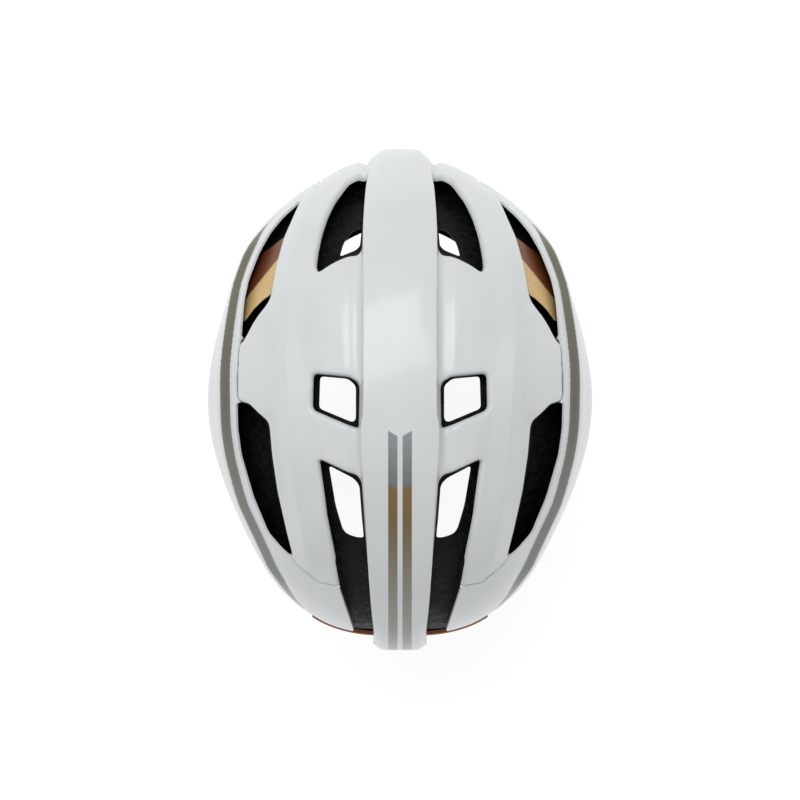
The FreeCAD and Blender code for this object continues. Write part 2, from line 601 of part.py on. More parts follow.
def cover_block():
    """The rounded outside of the dial cover."""
    body = doc.addObject("PartDesign::Body", "cover_body")
    sketch = body.newObject("Sketcher::SketchObject", "cover_outline")
    plane = [item for item in body.Origin.OriginFeatures if item.Role == "XY_Plane"][0]
    sketch.AttachmentSupport = (plane, "")
    sketch.MapMode = "FlatFace"
    wide = size("housing_half_width")
    corners = [Vector(-wide, -30, 0), Vector(wide, -30, 0), Vector(wide, 6, 0), Vector(-wide, 6, 0)]
    for start, end in zip(corners, corners[1:] + corners[:1]):
        sketch.addGeometry(Part.LineSegment(start, end), False)
    pad = body.newObject("PartDesign::Pad", "cover_pad")
    pad.Profile = sketch
    bind(pad, "Length", "cover_depth")
    doc.recompute()
    fillet = body.newObject("PartDesign::Fillet", "cover_round")
    upright = [f"Edge{count}" for count, edge in enumerate(pad.Shape.Edges, start=1)
               if abs(edge.BoundBox.ZLength - size("cover_depth")) < 0.01]
    fillet.Base = (pad, upright)
    bind(fillet, "Radius", "cover_corner")
    doc.recompute()
    rear = size("dial_seat") + 3.2 + size("cover_depth")
    body.Placement = Placement(Vector(0, rear, 0), Rotation(Vector(1, 0, 0), 90))
    return body


def dial():
    """Knob, grip ring, pinion with its click star, and the screw through them."""
    drop = size("dial_drop")
    back = Vector(0, 1, 0)
    teeth, module = int(size("pinion_teeth")), size("tooth_module")
    pitch = teeth * module / 2
    seat = size("dial_seat")
    plane = seat + size("rack_lift")
    wheel = []
    for number in range(teeth):
        turn = 2 * math.pi * number / teeth
        for radius, half in ((pitch - 1.1, 0.95), (pitch, 0.5), (pitch + 0.75, 0.2)):
            wheel.append((radius, turn - half / radius))
        for radius, half in ((pitch + 0.75, 0.2), (pitch, 0.5), (pitch - 1.1, 0.95)):
            wheel.append((radius, turn + half / radius))
    corners = [Vector(r * math.sin(a), plane, drop + r * math.cos(a)) for r, a in wheel]
    gear = Part.Face(Part.makePolygon(corners + corners[:1])).extrude(back * size("rack_thick"))
    star = []
    for number in range(24):
        turn = 2 * math.pi * number / 24
        radius = 7 if number % 2 else 6.3
        star.append(Vector(radius * math.sin(turn), seat + 7, drop + radius * math.cos(turn)))
    clicks = Part.Face(Part.makePolygon(star + star[:1])).extrude(back * 2.5)
    axis = Vector(0, plane, drop)
    shaft = Part.makeCylinder(size("shaft_radius"), seat + 19 - plane, axis, back)
    bore = Part.makeCylinder(1.2, 10, Vector(0, seat + 11, drop), back)
    pinion = gear.fuse([clicks, shaft]).cut(bore)
    free_form("pinion", pinion, fit_frame)

    radius, grip = size("knob_radius"), size("grip_thick")
    face = Vector(0, seat + 13.5, drop)
    knob = Part.makeCylinder(radius, 7.5, face, back)
    knob = knob.cut(Part.makeCylinder(size("shaft_radius"), 6, face - back * 0.1, back))
    knob = knob.cut(Part.makeCylinder(4, 3, Vector(0, seat + 19, drop), back))
    free_form("dial_knob", knob, fit_frame)
    ring = Part.makeCylinder(radius + grip, 6, Vector(0, seat + 14.3, drop), back)
    ribs = []
    for number in range(20):
        turn = 2 * math.pi * number / 20
        centre = Vector((radius + grip) * math.sin(turn), seat + 14.3,
                        drop + (radius + grip) * math.cos(turn))
        ribs.append(Part.makeCylinder(1, 6, centre, back))
    ring = ring.fuse(ribs).cut(Part.makeCylinder(radius, 8, Vector(0, seat + 14, drop), back))
    free_form("dial_grip", ring, fit_frame)
    head = Part.makeCylinder(2.6, 1.5, Vector(0, seat + 19, drop), back)
    screw = head.fuse(Part.makeCylinder(1.2, 8, Vector(0, seat + 11, drop), back))
    free_form("dial_screw", screw, fit_frame)


def racks():
    """Toothed strips on both sides of the pinion, each with an upright end for its band."""
    drop, plane = size("dial_drop"), size("dial_seat") + size("rack_lift")
    module = size("tooth_module")
    pitch = size("pinion_teeth") * module / 2
    step = math.pi * module
    for node, side in (("rack_left", 1), ("rack_right", -1)):
        line = drop + side * pitch
        points = []
        for number in range(-3, 8):
            centre = side * (number + 0.5) * step
            tip, root = line - side * 0.7, line + side * 1.1
            for shift, level in ((-0.85, root), (-0.25, tip), (0.25, tip), (0.85, root)):
                points.append(Vector(centre + side * shift, plane, level))
        back = line + side * 3.9
        end = side * (RACK_END - 2.5)
        first = side * -11
        outline = [Vector(first, plane, line + side * 1.1)] + [
            point for point in points if -11 < side * point.x < RACK_END - 4]
        outline += [Vector(end, plane, line + side * 1.1), Vector(end, plane, back),
                    Vector(first, plane, back)]
        strip = Part.Face(Part.makePolygon(outline + outline[:1]))
        strip = strip.extrude(Vector(0, size("rack_thick"), 0))
        low = line + 1.1 if side > 0 else back
        post = Part.makeBox(2.5, size("rack_thick"), 3.8 - low,
                            Vector(min(end, end + side * 2.5), plane, low))
        free_form(node, strip.fuse(post).removeSplitter(), fit_frame)


shells_and_foam()
strap_anchors()
pads()
straps()
divider()
buckle()
temple_joints()
side_bands()
cradle()
housing()
dial()
racks()
doc.recompute()

for obj in doc.Objects:
    if "Invalid" in obj.State or "Error" in obj.State:
        raise RuntimeError(f"{obj.Name} did not compute")
for node, obj in made.items():
    shape = obj.Shape
    if shape.isNull() or not shape.isValid():
        raise RuntimeError(f"{node} has no valid shape")
    print(node, len(shape.Solids), round(shape.Volume))
    shape.exportStep(f"parts/{node}.step")
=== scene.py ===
import json
import math

import bmesh
import bpy
import numpy as np
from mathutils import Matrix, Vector, kdtree
from mathutils.geometry import delaunay_2d_cdt


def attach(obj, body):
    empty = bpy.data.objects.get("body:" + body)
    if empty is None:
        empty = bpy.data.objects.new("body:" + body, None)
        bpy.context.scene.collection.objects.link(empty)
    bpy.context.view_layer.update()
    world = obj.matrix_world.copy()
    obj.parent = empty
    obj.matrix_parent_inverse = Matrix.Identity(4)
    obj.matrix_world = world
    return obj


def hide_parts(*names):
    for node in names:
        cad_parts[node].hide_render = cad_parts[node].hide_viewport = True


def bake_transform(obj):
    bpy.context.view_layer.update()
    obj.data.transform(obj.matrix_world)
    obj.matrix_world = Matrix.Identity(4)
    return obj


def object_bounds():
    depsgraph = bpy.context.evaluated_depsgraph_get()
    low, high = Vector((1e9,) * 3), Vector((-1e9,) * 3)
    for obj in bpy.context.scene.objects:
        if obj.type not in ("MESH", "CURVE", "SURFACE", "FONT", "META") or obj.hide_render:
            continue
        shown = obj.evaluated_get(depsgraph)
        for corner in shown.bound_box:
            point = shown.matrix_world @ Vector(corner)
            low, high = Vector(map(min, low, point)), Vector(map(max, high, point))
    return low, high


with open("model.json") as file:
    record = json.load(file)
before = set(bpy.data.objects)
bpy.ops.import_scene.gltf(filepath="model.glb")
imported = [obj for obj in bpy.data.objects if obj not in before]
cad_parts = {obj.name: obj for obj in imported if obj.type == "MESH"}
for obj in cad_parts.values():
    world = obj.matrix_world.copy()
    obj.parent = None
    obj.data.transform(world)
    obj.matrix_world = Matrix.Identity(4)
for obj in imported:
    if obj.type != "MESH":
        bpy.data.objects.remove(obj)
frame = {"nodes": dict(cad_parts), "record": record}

cad_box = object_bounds()
MM = 0.001

# ---------------- shell surface, in millimetres
HALF_WIDTH, HALF_LENGTH, WIDEST, CROWN = 109, 133, 50, 161
PLAN = [(0, -1.03), (18, -1.022), (34, -0.985), (62, -0.855), (84, -0.685), (98, -0.43),
        (107, -0.17), (109, 0.04), (104, 0.255), (91, 0.51), (72, 0.767), (50, 0.917), (28, 0.985), (0, 1)]
RIM = [(-160, 52), (-130, 50), (-90, 44), (-50, 31), (-10, 27), (30, 28), (70, 18), (105, 9),
       (130, 10), (160, 12)]
DOME_PLAN_POWER, DOME_RISE_POWER, FLARE = 1.1, 1.9, 0.1
WELL_WIDTH, WELL_LENGTH, WELL_CENTRE, WELL_SPRING, WELL_CROWN, WELL_POWER = 82, 104, -7, 40, 136, 1.1


def through(points, steps=24, closed=False):
    """A smooth curve through the points."""
    p = np.array(points, float)
    if closed:
        p = np.vstack([p[-1], p, p[0], p[1]])
    else:
        p = np.vstack([2 * p[0] - p[1], p, 2 * p[-1] - p[-2]])
    t = np.linspace(0, 1, steps, endpoint=False)[:, None]
    runs = []
    for a, b, c, d in zip(p, p[1:], p[2:], p[3:]):
        runs.append(0.5 * (2 * b + (c - a) * t + (2 * a - 5 * b + 4 * c - d) * t ** 2
                           + (3 * b - a - 3 * c + d) * t ** 3))
    if not closed:
        runs.append(p[-2][None])
    return np.vstack(runs)


plan = [(x, y * HALF_LENGTH) for x, y in PLAN]
plan = through(plan + [(-x, y) for x, y in plan[-2:0:-1]], 60, closed=True)
plan_angle = np.arctan2(plan[:, 1], plan[:, 0])
plan_order = np.argsort(plan_angle)
plan_angle, plan_reach = plan_angle[plan_order], np.hypot(*plan.T)[plan_order]
rim_curve = through(RIM)


def direction(q):
    return np.arctan2(q[:, 1], q[:, 0])


def reach(theta):
    return np.interp(theta, plan_angle, plan_reach, period=2 * np.pi)


def span(theta):
    return np.pi / 4 * (reach(theta) + CROWN - WIDEST)


def dome(q, outward=0.0, rise=0.0):
    """Points of the shell's outside: q is unrolled from the crown, roughly in true lengths."""
    theta = direction(q)
    full = span(theta)
    part = np.hypot(q[:, 0], q[:, 1]) / full
    phi = np.clip(part, 0, 1) * np.pi / 2
    low = np.maximum(part - 1, 0) * full
    across = np.where(part > 1, 1 - FLARE * (low / WIDEST) ** 2, np.sin(phi) ** (1 / DOME_PLAN_POWER))
    z = WIDEST + (CROWN - WIDEST + rise) * np.cos(phi) ** (2 / DOME_RISE_POWER) - low
    radius = reach(theta) * (1 + outward / HALF_WIDTH) * across
    return np.column_stack([radius * np.cos(theta), radius * np.sin(theta), z])


def unroll(points):
    """The unrolled place of points seen from above."""
    p = np.array(points, float).reshape(-1, 2)
    theta = direction(p)
    share = np.clip(np.hypot(p[:, 0], p[:, 1]) / reach(theta), 0, 1)
    radius = 2 / np.pi * np.arcsin(share ** DOME_PLAN_POWER) * span(theta)
    return np.column_stack([radius * np.cos(theta), radius * np.sin(theta)])


def at_height(theta, z):
    """The unrolled place on the shell's side in that direction at that height."""
    theta, z = np.broadcast_arrays(np.array(theta, float), np.array(z, float))
    up = np.clip((z - WIDEST) / (CROWN - WIDEST), 0, 1)
    above = np.arccos(up ** (DOME_RISE_POWER / 2)) / (np.pi / 2)
    part = np.where(z > WIDEST, above, 1 + (WIDEST - z) / span(theta))
    radius = part * span(theta)
    return np.column_stack([(radius * np.cos(theta)).ravel(), (radius * np.sin(theta)).ravel()])


def rim_height(y):
    return np.interp(y, rim_curve[:, 0], rim_curve[:, 1])


def rim_line(theta, lift=0.0):
    """The shell's lower edge, just inside the widest plan."""
    return at_height(theta, rim_height(reach(theta) * np.sin(theta) * 0.985) + lift)


def normals(surface, q):
    """Outward unit normals of a surface function."""
    step = 0.4
    a = surface(q + [step, 0]) - surface(q - [step, 0])
    b = surface(q + [0, step]) - surface(q - [0, step])
    n = np.cross(a, b)
    return n / np.maximum(np.linalg.norm(n, axis=1)[:, None], 1e-9)


def skin_normal(q):
    return normals(dome, q)


def well_reach(theta):
    return 1 / np.sqrt((np.cos(theta) / WELL_WIDTH) ** 2 + (np.sin(theta) / WELL_LENGTH) ** 2)


def well(q):
    """The head side of the foam, unrolled from its own crown."""
    theta = direction(q)
    radius = well_reach(theta)
    full = np.pi / 4 * (radius + WELL_CROWN - WELL_SPRING)
    part = np.hypot(q[:, 0], q[:, 1]) / full
    phi = np.clip(part, 0, 1) * np.pi / 2
    low = np.maximum(part - 1, 0) * full
    z = WELL_SPRING + (WELL_CROWN - WELL_SPRING) * np.cos(phi) ** (1 / WELL_POWER) - low
    across = radius * np.where(part > 1, 1, np.sin(phi) ** (1 / WELL_POWER))
    return np.column_stack([across * np.cos(theta), WELL_CENTRE + across * np.sin(theta), z])


def well_place(theta, part):
    """The unrolled place in that direction, at that part of the way from crown to spring line."""
    radius = part * np.pi / 4 * (well_reach(theta) + WELL_CROWN - WELL_SPRING)
    return np.column_stack([radius * np.cos(theta), radius * np.sin(theta)])


def well_unroll(points):
    """The well's unrolled place of points seen from above."""
    p = np.array(points, float) - [0, WELL_CENTRE]
    theta = direction(p)
    share = np.clip(np.hypot(p[:, 0], p[:, 1]) / well_reach(theta), 0, 1)
    return well_place(theta, 2 / np.pi * np.arcsin(share ** WELL_POWER))


def well_rim(theta):
    wall = well_reach(theta)
    z = rim_height(WELL_CENTRE + wall * np.sin(theta))
    up = np.clip((z - WELL_SPRING) / (WELL_CROWN - WELL_SPRING), 0, 1)
    full = np.pi / 4 * (wall + WELL_CROWN - WELL_SPRING)
    above = np.arccos(up ** WELL_POWER) / (np.pi / 2)
    return well_place(theta, np.where(z > WELL_SPRING, above, 1 + (WELL_SPRING - z) / full))


# ---------------- outlines seen from above
SPINE = [(16.9, -137), (17.9, -129), (19.8, -112), (21.2, -96), (21.4, -80), (21.5, 0), (22.8, 15),
         (21.5, 47), (19.3, 79), (17, 103), (14.3, 128)]
FRONT_VENT = [(18.3, -129), (21.5, -128.2), (30, -124), (37.8, -113), (41.7, -104.5), (44.9, -94.5),
              (47.1, -83.7), (48, -75), (46, -71.7), (41, -75.5), (34.4, -79), (24.4, -83),
              (21.9, -85.5), (20.5, -105)]
FRONT_HOLE = [(21.6, -96.8), (26.9, -94.6), (31.6, -88.4), (34, -80.2), (29, -82.2), (24.6, -84),
              (22.5, -86.2)]
MIDDLE_VENT = [(49.5, -15), (27.8, -13), (23.2, -8.6), (23.6, 14.8), (25, 16.2), (50, 5.7)]
MIDDLE_HOLE = [(44.6, -13.2), (29, -11.8), (24.6, -8), (24.6, 10.8), (26.6, 12.4), (45.2, 4.7)]
REAR_VENT = [(26.4, 129.8), (34.6, 104.4), (37.9, 86), (41.9, 66), (46.2, 33), (25.4, 42.6),
             (21.8, 46.2), (19.5, 79), (17.1, 103), (14.3, 128)]
REAR_HOLE = [(39.8, 36.6), (26, 43.6), (22.7, 47.4), (20.4, 78.3), (25, 78), (30.5, 75.5),
             (32.4, 72), (36.1, 59)]
TEMPLE_VENT = [(56.5, -113.2), (60.5, -104.4), (66.3, -91), (70.1, -76.5), (73.4, -57.5), (75.5, -52.6),
               (82.7, -43.4), (89.9, -31.4), (90, -38), (88.6, -57), (86.2, -68.4), (80, -84), (73.7, -95.2),
               (67, -103.5)]
FLANK_VENT = [(85.2, 2.3), (74, 12.8), (72.4, 31), (69.5, 51), (64.2, 75), (61.2, 87), (62, 88), (66.8, 84),
              (74.8, 75), (83.1, 55), (90, 31), (92, 16), (92.3, 0.8)]
SEAM = [(45, -123), (57.5, -111.5), (70, -89), (80, -60), (86.4, -44), (89.4, -34), (90.6, -28),
        (91.2, -17), (91.4, -3), (89, 4), (81, 30), (75, 52), (68, 73), (62.7, 86), (60.4, 89.8),
        (54.5, 95.4), (45.7, 102.8), (35.3, 104.6), (28, 107), (21.5, 129.5)]
INSERT = [(64.8, -92), (79.6, -81.4), (84.8, -76.2), (87.6, -68), (89.4, -57), (89.4, -46.5), (87.6, -43.8),
          (82.7, -50.6), (76.2, -56.8), (72.4, -59), (68.6, -77)]
TRIM_TOP = 40  # height where the bronze trim meets the shells
SKIN, FOAM_GAP = 1.3, 1.7  # skin thickness, and the foam's depth under the dome
VENT_ROLL, SEAM_ROLL, SIDE_ROLL = 1.9, 0.8, 1.1  # how far the skins' edges roll down
SEAM_STEP, VENT_STEP = 1.8, 1.6  # longest edge of seam and of vent outlines


def rounded(points, radius, closed=True):
    """The outline with each corner turned on a small curve."""
    p = np.array(points, float)
    most = 0.45                                  # share of a side that a corner may use
    out = []
    for i, here in enumerate(p):
        if not closed and i in (0, len(p) - 1):
            out.append(here)
            continue
        before, after = p[i - 1] - here, p[(i + 1) % len(p)] - here
        cut_a = min(radius, most * np.linalg.norm(before)) / np.linalg.norm(before)
        cut_b = min(radius, most * np.linalg.norm(after)) / np.linalg.norm(after)
        for t in (0, 0.25, 0.5, 0.75, 1):
            out.append(here + before * cut_a * (1 - t) ** 2 + after * cut_b * t ** 2)
    return np.array(out)


def fine(points, step, closed=True):
    """The outline with no edge longer than the step."""
    p = np.array(points, float)
    nxt = np.roll(p, -1, 0) if closed else p[1:]
    out = []
    for a, b in zip(p, nxt):
        length = np.linalg.norm(b - a)
        if length < 1e-6:
            continue
        count = max(1, math.ceil(length / step))
        out.extend(a + (b - a) * k / count for k in range(count))
    if not closed:
        out.append(p[-1])
    return np.array(out)


def mirror(loop):
    return loop[::-1] * [-1, 1]


def opening(points, radius):
    return unroll(fine(rounded(points, radius), VENT_STEP))


def within(q, loop):
    """Whether each point lies inside the closed loop."""
    inside = np.zeros(len(q), bool)
    for (ax, ay), (bx, by) in zip(loop, np.roll(loop, -1, 0)):
        if ay == by:
            continue
        hit = ((ay > q[:, 1]) != (by > q[:, 1])) & (
            q[:, 0] < (bx - ax) * (q[:, 1] - ay) / (by - ay) + ax)
        inside ^= hit
    return inside


def distance(q, line, closed=True):
    """Distance of each point to a line of points."""
    best = np.full(len(q), 1e9)
    ends = np.roll(line, -1, 0) if closed else line[1:]
    for a, b in zip(line, ends):
        d = b - a
        t = np.clip(((q - a) @ d) / max(d @ d, 1e-12), 0, 1)
        gap = q - a - t[:, None] * d
        best = np.minimum(best, np.einsum("ij,ij->i", gap, gap))
    return np.sqrt(best)


def depth_in(q, loop):
    """Distance inside the loop, negative outside."""
    return np.where(within(q, loop), 1, -1) * distance(q, loop)


def ease(x, low, high):
    t = np.clip((x - low) / (high - low), 0, 1)
    return t * t * (3 - 2 * t)


def rows_beside(first, second, rows):
    """Rows of points on both sides of edges, each row with its distance from them."""
    along = second - first
    side = np.column_stack([-along[:, 1], along[:, 0]])
    side /= np.maximum(np.linalg.norm(side, axis=1)[:, None], 1e-9)
    middle = (second + first) / 2
    return [(middle + side * row * sign, row) for row in rows for sign in (-1, 1)]


def net(outline, holes, spacing, rows, lines=()):
    """Triangles over a flat region, with rows of points beside each edge and line."""
    loops = [outline, *holes]
    picked = []
    for loop in loops:
        picked += [(points, row * 0.92) for points, row in rows_beside(loop, np.roll(loop, -1, 0), rows)]
    for line in lines:
        picked += [(points, 0.3) for points, _ in rows_beside(line[:-1], line[1:], rows)]
    low, high = outline.min(0), outline.max(0)
    grid = []
    for count, y in enumerate(np.arange(low[1], high[1], spacing * 0.866)):
        x = np.arange(low[0] + (count % 2) * spacing / 2, high[0], spacing)
        grid.append(np.column_stack([x, np.full(len(x), y)]))
    picked.append((np.vstack(grid), None))
    keep = []
    widest = max(rows)
    for points, least in picked:
        inside = within(points, outline)
        for hole in holes:
            inside &= ~within(points, hole)
        points = points[inside]
        if not len(points):
            continue
        near = np.min([distance(points, loop) for loop in loops], axis=0)
        if least is None:
            good = near > widest + 0.45 * spacing
            for line in lines:
                good &= distance(points, line, False) > widest + 0.3 * spacing
        else:
            good = near >= least
        keep.append(points[good])
    vertices, edges = [], []
    for loop in loops:
        first = len(vertices)
        vertices.extend(loop)
        edges.extend((first + k, first + (k + 1) % len(loop)) for k in range(len(loop)))
    for line in lines:
        first = len(vertices)
        vertices.extend(line)
        edges.extend((first + k, first + k + 1) for k in range(len(line) - 1))
    for points in keep:
        vertices.extend(points)
    flat, _, faces, *_ = delaunay_2d_cdt([Vector(v) for v in vertices], edges, [], 0, 1e-4, False)
    flat = np.array([tuple(v) for v in flat])
    faces = np.array(faces)
    middle = flat[faces].mean(1)
    inside = within(middle, outline)
    for hole in holes:
        inside &= ~within(middle, hole)
    faces = faces[inside]
    used = np.unique(faces)
    index = np.full(len(flat), -1)
    index[used] = np.arange(len(used))
    return flat[used], index[faces]


def border(faces):
    """The directed edges that only one triangle uses."""
    count = {}
    for a, b, c in faces:
        for edge in ((a, b), (b, c), (c, a)):
            count[edge] = 1
    return [edge for edge in count if edge[::-1] not in count]


def mesh_object(name, points, faces, smooth=35):
    """A mesh from millimetre points, with smooth shading up to that crease angle."""
    mesh = bpy.data.meshes.new(name)
    mesh.from_pydata((np.array(points) * MM).tolist(), [], [list(map(int, f)) for f in faces])
    mesh.update()
    mesh.shade_smooth()
    mesh.set_sharp_from_angle(angle=math.radians(smooth))
    piece = bpy.data.objects.new(name, mesh)
    bpy.context.scene.collection.objects.link(piece)
    return piece


def slab(name, flat, faces, top, under, smooth=35):
    """A closed piece between an upper and a lower surface over the same net."""
    upper, lower = top(flat), under(flat)
    size = len(flat)
    solid = [tuple(f) for f in faces] + [(c + size, b + size, a + size) for a, b, c in faces]
    for a, b in border(faces):
        solid.append((b, a, a + size, b + size))
    return mesh_object(name, np.vstack([upper, lower]), solid, smooth)


def per_point(piece, name, values):
    """A named value at each point, for the material."""
    values = np.asarray(values, np.float32)
    values = np.resize(values, len(piece.data.vertices))
    attribute = piece.data.attributes.new(name, "FLOAT", "POINT")
    attribute.data.foreach_set("value", values)


def reverse(piece):
    """The mirror image across the middle of the helmet."""
    mesh = piece.data.copy()
    for vertex in mesh.vertices:
        vertex.co.x = -vertex.co.x
    mesh.flip_normals()
    other = bpy.data.objects.new(piece.name.replace("left", "right"), mesh)
    bpy.context.scene.collection.objects.link(other)
    return other


NOSE_HEIGHT, TAIL_HEIGHT, SPINE_STEP, SPINE_CORNER = 57, 43, 2, 4
nose = at_height(np.arctan2(-132.5, np.array([17.2, 13, 6, 0])), NOSE_HEIGHT)
tail = at_height(np.arctan2(132.5, np.array([0, 7, 13, 15.2])), TAIL_HEIGHT)
spine_edge = unroll(fine(through(SPINE, 8), SPINE_STEP, closed=False))
spine_edge = rounded(np.vstack([nose[0], spine_edge, tail[-1]]), SPINE_CORNER, False)
spine_right = np.vstack([nose[::-1][0:3], spine_edge, tail[::-1][1:]])
spine_loop = fine(np.vstack([spine_right, mirror(spine_right)[1:-1]]), SPINE_STEP)

vents = {}
for word, outline, radius in (("front", FRONT_VENT, 3), ("middle", MIDDLE_VENT, 3.2),
                              ("temple", TEMPLE_VENT, 3), ("flank", FLANK_VENT, 3)):
    vents[word] = opening(outline, radius)
rear_top = unroll(fine(rounded(REAR_VENT, 3, closed=False), VENT_STEP, closed=False))
rear_foot = at_height(np.arctan2(130, np.array([15.2, 19, 23, 26.5])), TRIM_TOP - 2)
vents["rear"] = fine(np.vstack([rear_top, rear_foot]), 2)
both_vents = {word: [loop, mirror(loop)] for word, loop in vents.items()}
holes = [fine(rounded(outline, 2.2), VENT_STEP) for outline in (FRONT_HOLE, MIDDLE_HOLE, REAR_HOLE)]
holes += [mirror(loop) for loop in holes]

CREST_Y = [-123, -108.5, -94.5, -80.7, -64, -49, -29.5, 0, 20, 39, 59, 79, 96]
CREST_X = [44.5, 50.6, 55.7, 59, 61.3, 62.5, 63, 61.4, 59.9, 58.5, 55.5, 52.5, 49]
VALLEY_DEPTH, RIB_HEIGHT, RIDGE_HEIGHT, RIDGE_X = 2.4, 2.6, 1.7, 74


def relief(q):
    """How far the panels stand above the plain dome: valley, rib and shoulder."""
    p = dome(q)
    x, y = np.abs(p[:, 0]), p[:, 1]
    beside = -depth_in(q, spine_loop)
    valley = -VALLEY_DEPTH * np.exp(-((beside - 3.2) / 3.0) ** 2) * (beside > -1)
    crest = x - np.interp(y, CREST_Y, CREST_X)
    inner = np.clip(1 + crest / 9.5, 0, 1) ** 1.3
    outer = np.clip(1 - crest / 8, 0, 1)
    rib = RIB_HEIGHT * np.where(crest < 0, inner, outer) * ease(y, -126, -112) * (1 - ease(y, 84, 98))
    shoulder = x - RIDGE_X
    inner, outer = np.clip(1 + shoulder / 7, 0, 1), np.clip(1 - shoulder / 12, 0, 1)
    ridge = RIDGE_HEIGHT * np.where(shoulder < 0, inner, outer)
    ridge *= ease(y, -58, -46) * (1 - ease(y, 4, 13))
    return valley + rib + ridge


def lip(gap, radius):
    """How far an edge rolls down, at each distance from it."""
    return radius * (1 - np.clip(gap, 0, radius) / radius) ** 2


def vent_gap(q):
    return np.min([distance(q, loop) for pair in both_vents.values() for loop in pair], axis=0)


def spine_share(q):
    return ease(depth_in(q, spine_loop), -0.4, 1.1)


SPINE_RISE, NOSE_OUT, TAIL_OUT, NOSE_CORNER, TAIL_CORNER = 4.5, 4.6, 7.4, 0.75, 0.45


def spine_lift(q):
    """The spine's own surface less the dome's, in full."""
    p = dome(q)
    end = ease(np.abs(p[:, 1]), 112, 134)
    corner = 1 - np.where(p[:, 1] < 0, NOSE_CORNER, TAIL_CORNER) * end * ease(np.abs(p[:, 0]), 8.5, 17)
    outward = np.where(p[:, 1] < 0, NOSE_OUT, TAIL_OUT) * corner * ease(np.abs(p[:, 1]), 55, 125)
    grown = dome(q, 1.0, SPINE_RISE) - p
    wide = dome(q, 1.0, 0.0) - p
    return grown + wide * (outward - 1)[:, None]


def upper_top(q):
    n = skin_normal(q)
    rise = relief(q) - lip(vent_gap(q), VENT_ROLL) - lip(distance(q, upper_loop), SEAM_ROLL)
    return dome(q) + spine_share(q)[:, None] * spine_lift(q) + rise[:, None] * n


def upper_under(q):
    drop = np.minimum(relief(q), 0) - SKIN - lip(vent_gap(q), VENT_ROLL)
    return dome(q) + drop[:, None] * skin_normal(q)


# ---------------- shells
front_foot = rim_line(np.arctan2(-130, np.array([0, 15, 30, 44])), 0.4)
tail_foot = at_height(np.arctan2(132, np.array([21, 12, 0])), TRIM_TOP + 0.6)
seam = fine(rounded(SEAM, 2.5, closed=False), SEAM_STEP, closed=False)
upper_right = np.vstack([front_foot, unroll(seam), tail_foot])
upper_loop = fine(np.vstack([upper_right, mirror(upper_right)[1:-1]]), SEAM_STEP)
crest_line = unroll(fine(np.column_stack([CREST_X, CREST_Y]), 2.5, closed=False)[2:-6])
upper_cuts = [loop for word in ("front", "middle", "rear", "temple", "flank") for loop in both_vents[word]]
flat, faces = net(upper_loop, upper_cuts, 2.3, (0.5, 1.1, 1.9),
                  [np.vstack([spine_loop, spine_loop[:1]]), crest_line, mirror(crest_line)])
upper_shell = slab("upper_shell_skin", flat, faces, upper_top, upper_under, 40)
RUBBED = 3  # width of the band along an edge where paint wears
per_point(upper_shell, "edge", 1 - ease(vent_gap(flat), 0, RUBBED))

PANEL_GAP, SHADOW_GAP = 0.35, 1.0  # gap between shells, and what it widens by at the side
theta_front, theta_rear = math.atan2(-123.5, 45.3), math.atan2(122.4, 50.2)
lower_rim = rim_line(np.linspace(theta_front, theta_rear, 130))
side_up = at_height(theta_rear, np.array([20, 30, TRIM_TOP + 0.3]))
trim_line = at_height(np.linspace(theta_rear, math.atan2(131, 22), 12), TRIM_TOP + 0.3)
widened = ease(seam[:, 1], -40, -32) * (1 - ease(seam[:, 1], -3, 4))
seam[:, 0] += PANEL_GAP + SHADOW_GAP * widened
lower_loop = fine(np.vstack([lower_rim, side_up, trim_line[1:], unroll(seam)[::-1]]), SEAM_STEP)

STRIPE = [(69, -106), (77.3, -96.6), (83.2, -87), (88.2, -75.7), (91.6, -65.5), (93.8, -54), (96.2, -37),
          (98, -18), (98, 0), (97.4, 16), (95.3, 31), (92.5, 43), (89.2, 55), (85.7, 64), (80.4, 75),
          (76.4, 84), (71.7, 94), (67, 102), (62, 110), (54.6, 119.2)]
stripe_line = unroll(through(STRIPE, 8))
stripe_ring = np.vstack([stripe_line, mirror(stripe_line)])
STRIPE_HALF, LEDGE_SLOPE, LEDGE_RISE = 3.9, 1.5, 0.4


def ledge(q):
    """The sloping ledge that the stripe is painted on: sunk on its crown side, proud below."""
    below = -depth_in(q, stripe_ring)
    slope = np.clip(below / 4, -1, 1) * LEDGE_SLOPE
    fade = np.where(below < 0, 1 - ease(-below, 4.2, 9), 1 - ease(below, 4.2, 24))
    y = dome(q)[:, 1]
    return (slope + LEDGE_RISE) * fade * ease(y, -104, -80) * (1 - ease(y, 92, 116))


def lower_top(q):
    rise = ledge(q) - lip(distance(q, lower_loop), SIDE_ROLL)
    return dome(q) + rise[:, None] * skin_normal(q)


def lower_under(q):
    drop = SKIN + lip(distance(q, lower_loop), SIDE_ROLL) - np.minimum(ledge(q), 0)
    return dome(q) - drop[:, None] * skin_normal(q)


flat, faces = net(lower_loop, [vents["temple"], vents["flank"], vents["rear"]], 2.6, (0.5, 1.2, 2.0))
lower_left = slab("lower_shell_skin_left", flat, faces, lower_top, lower_under, 40)
half_width = STRIPE_HALF * ease(dome(flat)[:, 1], -109, -84)
per_point(lower_left, "band", distance(flat, stripe_line, False) - half_width)
per_point(lower_left, "edge", 1 - ease(distance(flat, lower_loop), 0, RUBBED))
lower_right = reverse(lower_left)

TRIM_PROUD, TRIM_ROLL, TRIM_SUNK = 2.2, 1.6, 0.6
trim_theta = np.linspace(math.atan2(122, 49.8), math.atan2(122, -49.8), 70)
trim_edges = [rim_line(trim_theta), at_height(trim_theta[::-1], TRIM_TOP - 0.3)]
trim_loop = fine(np.vstack(trim_edges), SEAM_STEP)


